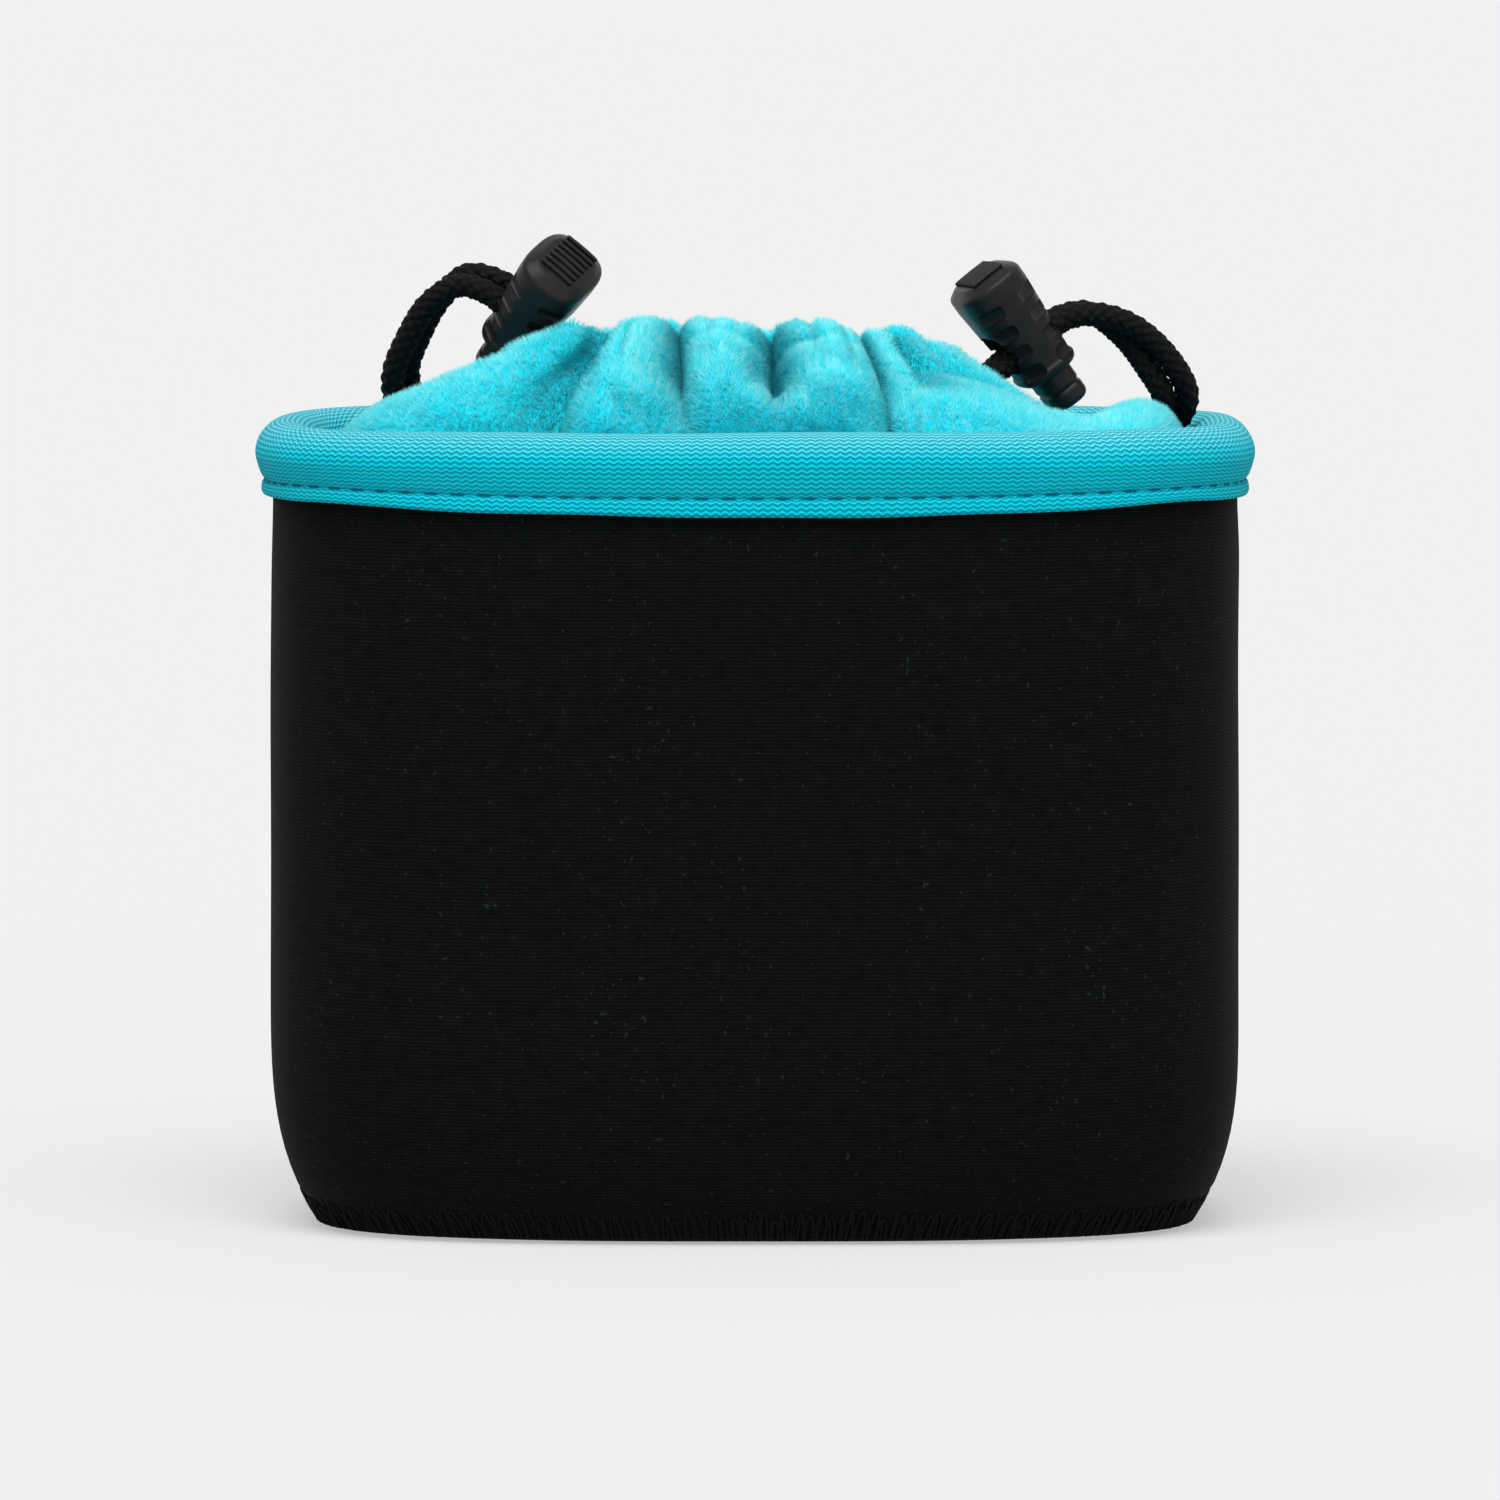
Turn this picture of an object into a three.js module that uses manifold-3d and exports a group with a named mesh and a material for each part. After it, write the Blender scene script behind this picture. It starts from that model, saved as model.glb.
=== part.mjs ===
// Drawstring camera case: a neoprene pouch with a padded rim, a gathered fleece collar and two cord locks.
// Millimetres, +Z up. The origin is the middle of the base's underside, +X is the case's right, -Y its front.
import * as THREE from "three";
import { mergeVertices } from "three/addons/utils/BufferGeometryUtils.js";
import Module from "manifold-3d";

// Pouch
const HALF_WIDTH = 84.1; // middle of the case to the wall's outside
const HALF_DEPTH = 50;
const WALL_TOP = 128.2;
const WALL_FOOT = 1.5; // the wall's lower edge, just off the ground
const WALL_THICK = 4;
const FOOT_INSET = 8.2; // how far the wall draws in at the ground
const FOOT_HEIGHT = 40; // height over which it draws in
const FOOT_POWER = 3.4;
const FOOT_SQUARENESS = 3.1; // exponent of the plan outline at the ground
const TOP_SQUARENESS = 3.5; // and from FOOT_HEIGHT up
const BASE_THICK = 4;
const BASE_ROUND = 0.8; // the base's rounded lower edge
const LINING_THICK = 2.6;
const CLEAR = 0.3; // gap between pieces that touch
const AROUND = 48; // points round the case
const WALL_LEVELS = [4, 9, 16, 27, 45, 85];

// Rim: heights are above the wall's top, offsets from the wall's outside
const ROLL_OFFSET = -2.9; // middle of the padded roll
const ROLL_RISE = 6;
const ROLL_HALF_WIDTH = 5.3;
const ROLL_HALF_HEIGHT = 5.2;
const BINDING_THICK = 1.1;
const TAPE_THICK = 1; // the binding where it lies flat on the wall
const FLANGE_DROP = 2; // how far the tape hangs down outside
const TAPE_DROP = 5.2; // and inside
const CORE_GAP = 0.4; // between the foam and the binding round it
const GROOVE_RISE = 1; // from the wall's top to the groove under the roll
const THREAD_RADIUS = 0.35;

// Seams
const SEAM_TOP = 6.2; // top of the overlock band round the ground edge
const SEAM_THICK = 0.7;
const SEAM_FOOT = 0.35; // its underside, off the ground
const SEAM_ROUND = 0.5;
const SEAM_BEVEL = 0.6;
const SEAM_ENDS = 1; // from the back seam to the band under it and the tape over it
const BACK_SEAM_WIDTH = 6;

// Drawcord
const CORD_RADIUS = 2;
const CORD_SIDES = 8;
const EXIT_SLOPE = 35; // degrees that the strands rise at as they leave the hem
const PULL = 8; // how far the strands can be drawn out
const STUB_GRIP = 3; // what stays in the hem when they are
const STUB_SHOWS = 1; // what shows of them between the hem and the bend when they aren't
const STUB_END = CORD_RADIUS + CLEAR; // from the bend to the strand that comes out of the hem
const HEM_END = STUB_END + STUB_SHOWS; // from the bend to the hem's mouth
const STUB_LENGTH = STUB_SHOWS + PULL + STUB_GRIP;

// Hem: a tunnel round the cord with a crest above it
const HEM_SLACK = 0.5; // between the cord and the tunnel
const HEM_BORE = CORD_RADIUS + HEM_SLACK;
const HEM_WALL = 0.6; // on the side that faces the mouth
const HEM_OUTER_WALL = 0.8; // and on the side that faces the collar
const HEM_HALF = HEM_BORE + HEM_WALL;
const HEM_OUTER = HEM_BORE + HEM_OUTER_WALL;
const HEM_CORNER = 1.45; // half the width of the section's flats
const CREST_HALF = 1.05; // half the crest's thickness
const NECK_HALF = 2.1; // and half way up
const NECK_SHARE = 0.55;
const HEM_RUFFLE = 1; // the crest's waves
const HEM_WAVES = 5;
const HEM_STEPS = 30;
const HEM_SIDES = 10;
const STRAND_SPREAD = HEM_HALF + 0.2; // from the mouth's middle line to each strand where it leaves the hem

// Collar: heights are above the wall's top
const COLLAR_THICK = 2.4;
const COLLAR_DROP = 5.8; // its foot, sewn inside the tape
const COLLAR_ROWS = 8;
const PLEAT_STEPS = 6; // points across a pleat
const SIDE_GAP = CLEAR / 2;
const SEAM_DROP = 10; // how far the side seams' tops are under the bend
const TOP_GAP = 1.5; // from the hem's side to the collar's upper edge
const TOP_RISE = 6; // from the cord up to the collar's upper edge
const SWELL_POWER = 0.8; // how full a pleat is across
const SWELL_REACH = 0.9; // share of a pleat's height that its swell is centred in
const SWELL_FADE = 1.3;
const NEAR_SEAM = [0.2, 0.6]; // pleats from a side seam where the panel's thickness turns inwards
// Each crease's foot (as a share of the way from the middle to a side seam), top (share of the hem) and
// profile (shoulder and slope heights), and each pleat's swell, from the left side seam to the right one.
const PANELS = {
  front: {
    feet: [-0.526, -0.169, 0.041, 0.321, 0.396],
    tops: [0, 0.08, 0.26, 0.48, 0.71, 0.77, 1],
    shoulders: [9.5, 15, 17, 17, 16, 14, 5],
    slopes: [14.5, 20, 21, 21, 20.5, 19, 8],
    swell: [3.4, 4, 3.6, 4, 0.8, 3.4],
  },
  back: {
    feet: [-0.902, -0.464, 0.014, 0.464, 0.902],
    tops: [0, 0.14, 0.31, 0.47, 0.66, 0.84, 1],
    shoulders: [9.5, -5, 6, 11, 6, -5, 5],
    slopes: [14.5, -4, 9, 14, 8, -5, 8],
    swell: [0.6, 2.4, 3.4, 3.4, 2.4, 0.6],
  },
};
const SHOULDER_IN = 0.05; // how far in towards the mouth the profile's two bends are
const SLOPE_IN = 0.45;

// Cord locks, in a frame whose X is the cord hole, Y the wide way and Z the long axis
const LOCK_TOP = 13.5;
const LOCK_BOTTOM = -7.5;
const LOCK_HALF_U = 6.2;
const LOCK_TAPER = 0.8; // the open end's size as a share of the closed end's
const LOCK_SHOULDER = 4; // from the closed end to where the taper starts
const LOCK_ROUND = [[0, 0.5], [1, 0]]; // height and inset of the open end's edge
const LOCK_DOME = [[1.2, 0.3], [0, 1.4]]; // and of the closed end's
const LOCK_SQUARENESS = 3;
const LOCK_POINTS = 20;
const LOCK_GAP = 2.4; // from the bend to the barrel's side
const LOCK_REACH = LOCK_HALF_U + LOCK_GAP;
const STRAND_GAP = 0.5; // between the two strands in the hole
const STRAND_APART = CORD_RADIUS + STRAND_GAP / 2;
const BUTTON_CLEAR = 0.3;
const BUTTON_TRAVEL = 3;
const BUTTON_SHOWS = 6.5; // how much of the button stands out of the barrel
const BUTTON_ROUND = [1.5, 1.1]; // height and inset of its rounded end
const BUTTON_GROOVE = 0.4;
const BUTTON_SIDE = 1; // its wall beside the cord hole
const BUTTON_BRIDGE = 2.2; // and above it
const HOLE_HALF_HEIGHT = CORD_RADIUS + BUTTON_CLEAR + BUTTON_TRAVEL / 2;
const HOLE_HALF_WIDTH = STRAND_APART + CORD_RADIUS + 0.35;
const HOLE_CORNER = 1.6;
const HOLE_FLARE = 2; // how much the hole opens at its mouths
const BUTTON_TOP = HOLE_HALF_HEIGHT - BUTTON_TRAVEL + BUTTON_BRIDGE;
const BARREL_WALL = 1.2; // at the open end, on the broad sides
const BARREL_SIDE = 0.5; // and on the narrow ones
const END_WALL = 2.2;
const BORE_HALF_U = LOCK_HALF_U * LOCK_TAPER - BARREL_WALL;
const BORE_HALF_V = HOLE_HALF_WIDTH + BUTTON_SIDE + BUTTON_CLEAR;
const LOCK_HALF_V = (BORE_HALF_V + BARREL_SIDE) / LOCK_TAPER;
const GRIP_LEVELS = 4;
const GRIP_START = 2.6; // from the open end to the first row of notches
const GRIP_PITCH = 4.2;
const GRIP_SIZE = 2.3;
const GRIP_SHARE = 0.82; // how near the notches are to the corners
const RIB_COUNT = 7;
const RIB_PITCH = 1.5;
const RIB_LENGTH = 6.6;
const RIB_WIDTH = 0.75;
const RIB_RISE = 0.55;
const SPRING_RADIUS = 2.2;
const SPRING_WIRE = 0.4;
const SPRING_CURLS = 5;
const SPRING_SIDES = 5;
const KNOT_RADIUS = 4.5;
const TAIL_STEPS = 22;
const DRAWCORD_STEPS = 16;

// Each side: the point where the strands bend out of the hem, the lock's long axis and cord hole axis,
// the tail's way from the lock, which way the front strand lies at its end, and the knot. Heights are
// above the wall's top.
const SIDES = {
  left: {
    way: -1,
    bend: [-32.8, 0.3, 23.3],
    long: [0.45, -0.62, 0.64],
    out: [-0.755, 0.118, 0.645],
    tail: [[-50.6, 3.6, 35], [-55.8, 5.2, 31.2], [-59.6, 7.6, 24.8], [-61.8, 10.5, 18.8], [-61, 15, 13]],
    frontStrand: [-0.9, 0.4, 0],
    knot: [-56, 23.5, 6.8],
  },
  right: {
    way: 1,
    bend: [40.8, -1.2, 18.8],
    long: [-0.574, -0.174, 0.8],
    out: [0.7645, 0.2383, 0.6],
    tail: [[58.6, 4, 29.2], [64.7, 4.8, 26.2], [70, 5.6, 20.6], [73.2, 7.4, 14.8], [71.6, 12.6, 9.8]],
    frontStrand: [0.85, 0.5, 0],
    knot: [62, 24, 6],
  },
};

const neoprene = new THREE.MeshStandardMaterial({ color: 0x0b0b0c, roughness: 0.85, metalness: 0 });
const fleece = new THREE.MeshStandardMaterial({ color: 0x1ac3dc, roughness: 0.95, metalness: 0 });
const bindingKnit = new THREE.MeshStandardMaterial({ color: 0x17b9d2, roughness: 0.8, metalness: 0 });
const foam = new THREE.MeshStandardMaterial({ color: 0xd8d8d4, roughness: 0.9, metalness: 0 });
const blackThread = new THREE.MeshStandardMaterial({ color: 0x101012, roughness: 0.7, metalness: 0 });
const tealThread = new THREE.MeshStandardMaterial({ color: 0x0f8ea6, roughness: 0.7, metalness: 0 });
const cordBraid = new THREE.MeshStandardMaterial({ color: 0x101010, roughness: 0.75, metalness: 0 });
const plastic = new THREE.MeshStandardMaterial({ color: 0x161616, roughness: 0.5, metalness: 0 });
const steel = new THREE.MeshStandardMaterial({ color: 0xb4b6ba, roughness: 0.3, metalness: 1 });

const wasm = await Module();
wasm.setup();
const lerp = THREE.MathUtils.lerp;
const radians = THREE.MathUtils.degToRad;
const V = (x, y, z) => new THREE.Vector3(x, y, z);
const aboveWall = ([x, y, rise]) => V(x, y, WALL_TOP + rise);

const model = new THREE.Group();
function add(name, geometry, material, parent = model) {
  const mesh = new THREE.Mesh(geometry, material);
  mesh.name = name;
  parent.add(mesh);
  return mesh;
}

// Surfaces from rings and grids of points

function signedVolume(points, faces) {
  let sum = 0;
  for (let i = 0; i < faces.length; i += 3) {
    sum += points[faces[i]].dot(points[faces[i + 1]].clone().cross(points[faces[i + 2]]));
  }
  return sum / 6;
}

// A closed surface, turned so that its faces point out.
function closedSurface(points, faces) {
  if (signedVolume(points, faces) < 0) faces.reverse();
  const geometry = new THREE.BufferGeometry().setFromPoints(points);
  geometry.setIndex(faces);
  geometry.computeVertexNormals();
  return geometry;
}

function joinRings(faces, from, to, count) {
  for (let j = 0; j < count; j++) {
    const next = (j + 1) % count;
    faces.push(from + j, from + next, to + next, from + j, to + next, to + j);
  }
}

// Rings joined one to the next, and the last to the first: a body with a hole through it.
function closedLoft(rings) {
  const count = rings[0].length;
  const faces = [];
  rings.forEach((_, i) => joinRings(faces, i * count, ((i + 1) % rings.length) * count, count));
  return closedSurface(rings.flat(), faces);
}

// Rings joined in a row, with a cap over each end ring.
function cappedLoft(rings) {
  const count = rings[0].length;
  const faces = [];
  for (let i = 0; i + 1 < rings.length; i++) joinRings(faces, i * count, (i + 1) * count, count);
  const last = (rings.length - 1) * count;
  for (let j = 1; j + 1 < count; j++) faces.push(0, j + 1, j, last, last + j, last + j + 1);
  return closedSurface(rings.flat(), faces);
}

// A sheet with thickness, from the grids of points of its two faces.
function sheet(outer, inner) {
  const rows = outer.length;
  const columns = outer[0].length;
  const under = rows * columns;
  const faces = [];
  const quad = (a, b, c, d) => faces.push(a, b, c, a, c, d);
  for (let i = 0; i + 1 < rows; i++) {
    for (let j = 0; j + 1 < columns; j++) {
      const a = i * columns + j;
      const [b, c, d] = [a + 1, a + columns + 1, a + columns];
      quad(a, b, c, d);
      quad(under + d, under + c, under + b, under + a);
    }
  }
  const edge = [];
  for (let j = 0; j + 1 < columns; j++) edge.push(j);
  for (let i = 0; i + 1 < rows; i++) edge.push((i + 1) * columns - 1);
  for (let j = columns - 1; j > 0; j--) edge.push((rows - 1) * columns + j);
  for (let i = rows - 1; i > 0; i--) edge.push(i * columns);
  edge.forEach((a, k) => {
    const b = edge[(k + 1) % edge.length];
    quad(b, a, under + a, under + b);
  });
  return closedSurface([...outer.flat(), ...inner.flat()], faces);
}

// Each ring of a cord's domed end: its size and its distance past the end, as shares of the radius
const DOME = [[0.92, 0.35], [0.55, 0.8]];

// A round cord along a curve, its ends domed
function roundCord(curve, radius, steps, sides = CORD_SIDES) {
  const frames = curve.computeFrenetFrames(steps, false);
  const ring = (step, share, shift) => Array.from({ length: sides }, (_, k) => {
    const angle = (2 * Math.PI * k) / sides;
    return curve.getPointAt(step / steps)
      .addScaledVector(frames.tangents[step], shift * radius)
      .addScaledVector(frames.normals[step], share * radius * Math.cos(angle))
      .addScaledVector(frames.binormals[step], share * radius * Math.sin(angle));
  });
  const rings = Array.from({ length: steps + 1 }, (_, step) => ring(step, 1, 0));
  DOME.forEach(([share, shift]) => rings.push(ring(steps, share, shift)));
  DOME.forEach(([share, shift]) => rings.unshift(ring(0, share, -shift)));
  return cappedLoft(rings);
}

// Plan outline of the case: a superellipse, smaller and rounder at the foot

function outlinePoint(angle, halfX, halfY, squareness, z) {
  const [c, s] = [Math.cos(angle), Math.sin(angle)];
  const power = 2 / squareness;
  return V(halfX * Math.sign(c) * Math.abs(c) ** power, halfY * Math.sign(s) * Math.abs(s) ** power, z);
}
const drawIn = (z) => FOOT_INSET * Math.max(0, 1 - z / FOOT_HEIGHT) ** FOOT_POWER;
const squarenessAt = (z) => lerp(FOOT_SQUARENESS, TOP_SQUARENESS, Math.min(1, z / FOOT_HEIGHT));
// A ring round the case at height z, offset outwards from the wall's outside.
function ringAt(offset, z) {
  const shapeHeight = Math.max(z, WALL_FOOT);
  const inset = drawIn(shapeHeight) - offset;
  return Array.from({ length: AROUND }, (_, i) => {
    const angle = (2 * Math.PI * (i + 0.5)) / AROUND;
    return outlinePoint(angle, HALF_WIDTH - inset, HALF_DEPTH - inset, squarenessAt(shapeHeight), z);
  });
}
// A solid ring whose section is a list of [offset, height].
const ringSolid = (section) => closedLoft(section.map(([offset, z]) => ringAt(offset, z)));
const wallSection = (levels, outside, thick) => [
  ...levels.map((z) => [outside, z]),
  ...levels.map((z) => [outside - thick, z]).reverse(),
];

// Pouch wall, base and linings

const wallLevels = WALL_LEVELS.filter((z) => z > WALL_FOOT && z < WALL_TOP);
add("wall", ringSolid(wallSection([WALL_FOOT, ...wallLevels, WALL_TOP], 0, WALL_THICK)), neoprene);

const insideWall = -WALL_THICK - CLEAR;
add("base_panel", cappedLoft([
  ringAt(insideWall - BASE_ROUND, 0),
  ringAt(insideWall, BASE_ROUND),
  ringAt(insideWall, WALL_FOOT),
  ringAt(insideWall, BASE_THICK),
]), neoprene);

const liningFoot = BASE_THICK + CLEAR;
const liningLevels = wallLevels.filter((z) => z > liningFoot);
const liningSection = wallSection([liningFoot, ...liningLevels, WALL_TOP], insideWall, LINING_THICK);
add("wall_lining", ringSolid(liningSection), fleece);
const insideLining = insideWall - LINING_THICK - CLEAR;
add("base_lining", cappedLoft([
  ringAt(insideLining, liningFoot),
  ringAt(insideLining, liningFoot + LINING_THICK),
]), fleece);

// Overlock band: thread that wraps the wall's lower edge onto the base
const seamOut = CLEAR + SEAM_THICK;
add("base_seam", ringSolid([
  [CLEAR, SEAM_TOP],
  [seamOut, SEAM_TOP - CLEAR],
  [seamOut, SEAM_FOOT + SEAM_ROUND],
  [seamOut - SEAM_ROUND, SEAM_FOOT],
  [-WALL_THICK + BASE_ROUND, SEAM_FOOT],
  [-WALL_THICK + BASE_ROUND, WALL_FOOT - CLEAR],
  [CLEAR, WALL_FOOT - CLEAR],
]), blackThread);

// Flat seam that closes the wall at the back
const backSeamFoot = SEAM_TOP + SEAM_ENDS;
const backSeamTop = WALL_TOP - FLANGE_DROP - SEAM_ENDS;
const besideSeam = WALL_LEVELS.filter((z) => z > backSeamFoot && z < backSeamTop);
add("back_seam", cappedLoft([backSeamFoot, ...besideSeam, backSeamTop].map((z) => {
  const y = HALF_DEPTH - drawIn(z) + CLEAR;
  const half = BACK_SEAM_WIDTH / 2;
  const outer = y + SEAM_THICK;
  return [V(-half, y, z), V(half, y, z), V(half - SEAM_BEVEL, outer, z), V(-half + SEAM_BEVEL, outer, z)];
})), blackThread);

// Rim: knitted binding wrapped over a foam core and down both sides of the wall

const rollHeight = WALL_TOP + ROLL_RISE;
const rollArc = (halfWidth, halfHeight, from, to, steps) => Array.from({ length: steps + 1 }, (_, i) => {
  const angle = radians(lerp(from, to, i / steps));
  return [ROLL_OFFSET + halfWidth * Math.cos(angle), rollHeight + halfHeight * Math.sin(angle)];
});
const insideTape = insideLining;
const grooveHeight = WALL_TOP + GROOVE_RISE;
const legTop = WALL_TOP + CLEAR;
add("rim_binding", ringSolid([
  [CLEAR, WALL_TOP - FLANGE_DROP],
  [CLEAR + TAPE_THICK, WALL_TOP - FLANGE_DROP],
  [CLEAR + TAPE_THICK, WALL_TOP],
  [CLEAR + TAPE_THICK / 2, grooveHeight],
  ...rollArc(ROLL_HALF_WIDTH, ROLL_HALF_HEIGHT, -42, 222, 8),
  [insideTape - TAPE_THICK / 2, grooveHeight],
  [insideTape - TAPE_THICK, WALL_TOP],
  [insideTape - TAPE_THICK, WALL_TOP - TAPE_DROP],
  [insideTape, WALL_TOP - TAPE_DROP],
  [insideTape, legTop],
  ...rollArc(ROLL_HALF_WIDTH - BINDING_THICK, ROLL_HALF_HEIGHT - BINDING_THICK, 225, -45, 6),
  [CLEAR, legTop],
]), bindingKnit);
const coreRadius = Math.min(ROLL_HALF_WIDTH, ROLL_HALF_HEIGHT) - BINDING_THICK - CORE_GAP;
add("rim_core", ringSolid(rollArc(coreRadius, coreRadius, 0, 300, 5)), foam);
const threadOffset = CLEAR + TAPE_THICK + THREAD_RADIUS;
add("rim_thread", ringSolid([0, 120, 240].map((degrees) => [
  threadOffset + THREAD_RADIUS * Math.cos(radians(degrees)),
  grooveHeight + THREAD_RADIUS * (1.4 + Math.sin(radians(degrees))),
])), tealThread);

// Where each side's strands leave the hem, and the lock's axes there

function sideFrame({ way, bend, long, out }) {
  const w = V(...long).normalize();
  const raw = V(...out);
  const u = raw.addScaledVector(w, -raw.dot(w)).normalize();
  const v = w.clone().cross(u);
  const strandHeight = BUTTON_CLEAR + CORD_RADIUS - HOLE_HALF_HEIGHT;
  const point = aboveWall(bend);
  const hole = point.clone().addScaledVector(u, LOCK_REACH).addScaledVector(w, -strandHeight);
  const pull = V(way * Math.cos(radians(EXIT_SLOPE)), 0, Math.sin(radians(EXIT_SLOPE)));
  const front = v.clone().multiplyScalar(-Math.sign(v.y));
  return { u, v, w, hole, bend: point, pull, front };
}
const ends = { left: sideFrame(SIDES.left), right: sideFrame(SIDES.right) };
const facing = { front: -1, back: 1 };
const exitPoint = (end, which, inside) => end.bend.clone()
  .add(V(0, facing[which] * STRAND_SPREAD, 0))
  .addScaledVector(end.pull, -inside);

// Hem: a front and a back tunnel from one pair of exits to the other, with a cord in each

const stubInner = STUB_END + STUB_LENGTH;
const hemMiddle = {
  front: [[-11, -8.4, 13.6], [4, -11.4, 13.4], [17, -9, 11]],
  back: [[-11, 5, 13.6], [4, 6.6, 13.4], [17, 4.6, 11]],
};
const crestHeights = [26.2, 28.2, 28, 28.4, 27.6, 22.6]; // the hem's crest from left to right
function hemCurve(which) {
  const depths = [HEM_END, (HEM_END + stubInner) / 2, stubInner, stubInner + CORD_RADIUS];
  return new THREE.CatmullRomCurve3([
    ...depths.map((depth) => exitPoint(ends.left, which, depth)),
    ...hemMiddle[which].map(aboveWall),
    ...depths.map((depth) => exitPoint(ends.right, which, depth)).reverse(),
  ], false, "centripetal");
}
const hems = { front: hemCurve("front"), back: hemCurve("back") };

// The value at place p in a list, with straight or smooth steps from one to the next
function between(list, p, smooth = false) {
  const i = Math.min(list.length - 2, Math.floor(p));
  const share = smooth ? THREE.MathUtils.smoothstep(p - i, 0, 1) : p - i;
  return lerp(list[i], list[i + 1], share);
}

// Horizontally across the hem, away from the mouth
function besideHem(which, share) {
  const tangent = hems[which].getTangentAt(share);
  return V(-tangent.y, tangent.x, 0).normalize().multiplyScalar(facing[which]);
}

function hemSolid(which) {
  const curve = hems[which];
  const bore = HEM_BORE / Math.cos(Math.PI / HEM_SIDES);
  const outer = [];
  const inner = [];
  for (let i = 0; i <= HEM_STEPS; i++) {
    const share = i / HEM_STEPS;
    const centre = curve.getPointAt(share);
    const tangent = curve.getTangentAt(share);
    const aside = besideHem(which, share);
    const up = V(0, 0, 1).addScaledVector(tangent, -tangent.z).normalize();
    const at = (a, b) => centre.clone().addScaledVector(aside, a).addScaledVector(up, b);
    const above = (a, height) => centre.clone().addScaledVector(aside, a).add(V(0, 0, height));
    const wave = HEM_RUFFLE * Math.sin(2 * Math.PI * HEM_WAVES * share);
    const top = WALL_TOP + between(crestHeights, share * (crestHeights.length - 1), true) - centre.z;
    outer.push([
      at(HEM_OUTER, -HEM_CORNER), at(HEM_OUTER, HEM_CORNER),
      above(NECK_HALF + wave, NECK_SHARE * top), above(CREST_HALF + wave, top),
      above(-CREST_HALF + wave, top), above(-NECK_HALF + wave / 2, NECK_SHARE * top),
      at(-HEM_HALF, HEM_CORNER), at(-HEM_HALF, -HEM_CORNER),
      at(-HEM_CORNER, -HEM_HALF), at(HEM_CORNER, -HEM_HALF),
    ]);
    inner.push(Array.from({ length: HEM_SIDES }, (_, k) => {
      const angle = (2 * Math.PI * (k - 0.5)) / HEM_SIDES;
      return at(bore * Math.cos(angle), bore * Math.sin(angle));
    }));
  }
  return closedLoft([...outer, ...inner.reverse()]);
}

// The stretch of a hem's cord between the two strands that come out of its ends
class InnerCord extends THREE.Curve {
  constructor(hem) {
    super();
    this.hem = hem;
    this.skip = (stubInner - HEM_END + CLEAR + CORD_RADIUS) / hem.getLength();
  }
  getPoint(t, target = V()) {
    return target.copy(this.hem.getPointAt(lerp(this.skip, 1 - this.skip, t)));
  }
}
for (const which of ["front", "back"]) {
  add(`hem_${which}`, hemSolid(which), fleece);
  add(`drawcord_${which}`, roundCord(new InnerCord(hems[which]), CORD_RADIUS, DRAWCORD_STEPS), cordBraid);
}

// Collar: a pleated fleece panel at the front and another at the back, from the rim up to the hem

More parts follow.
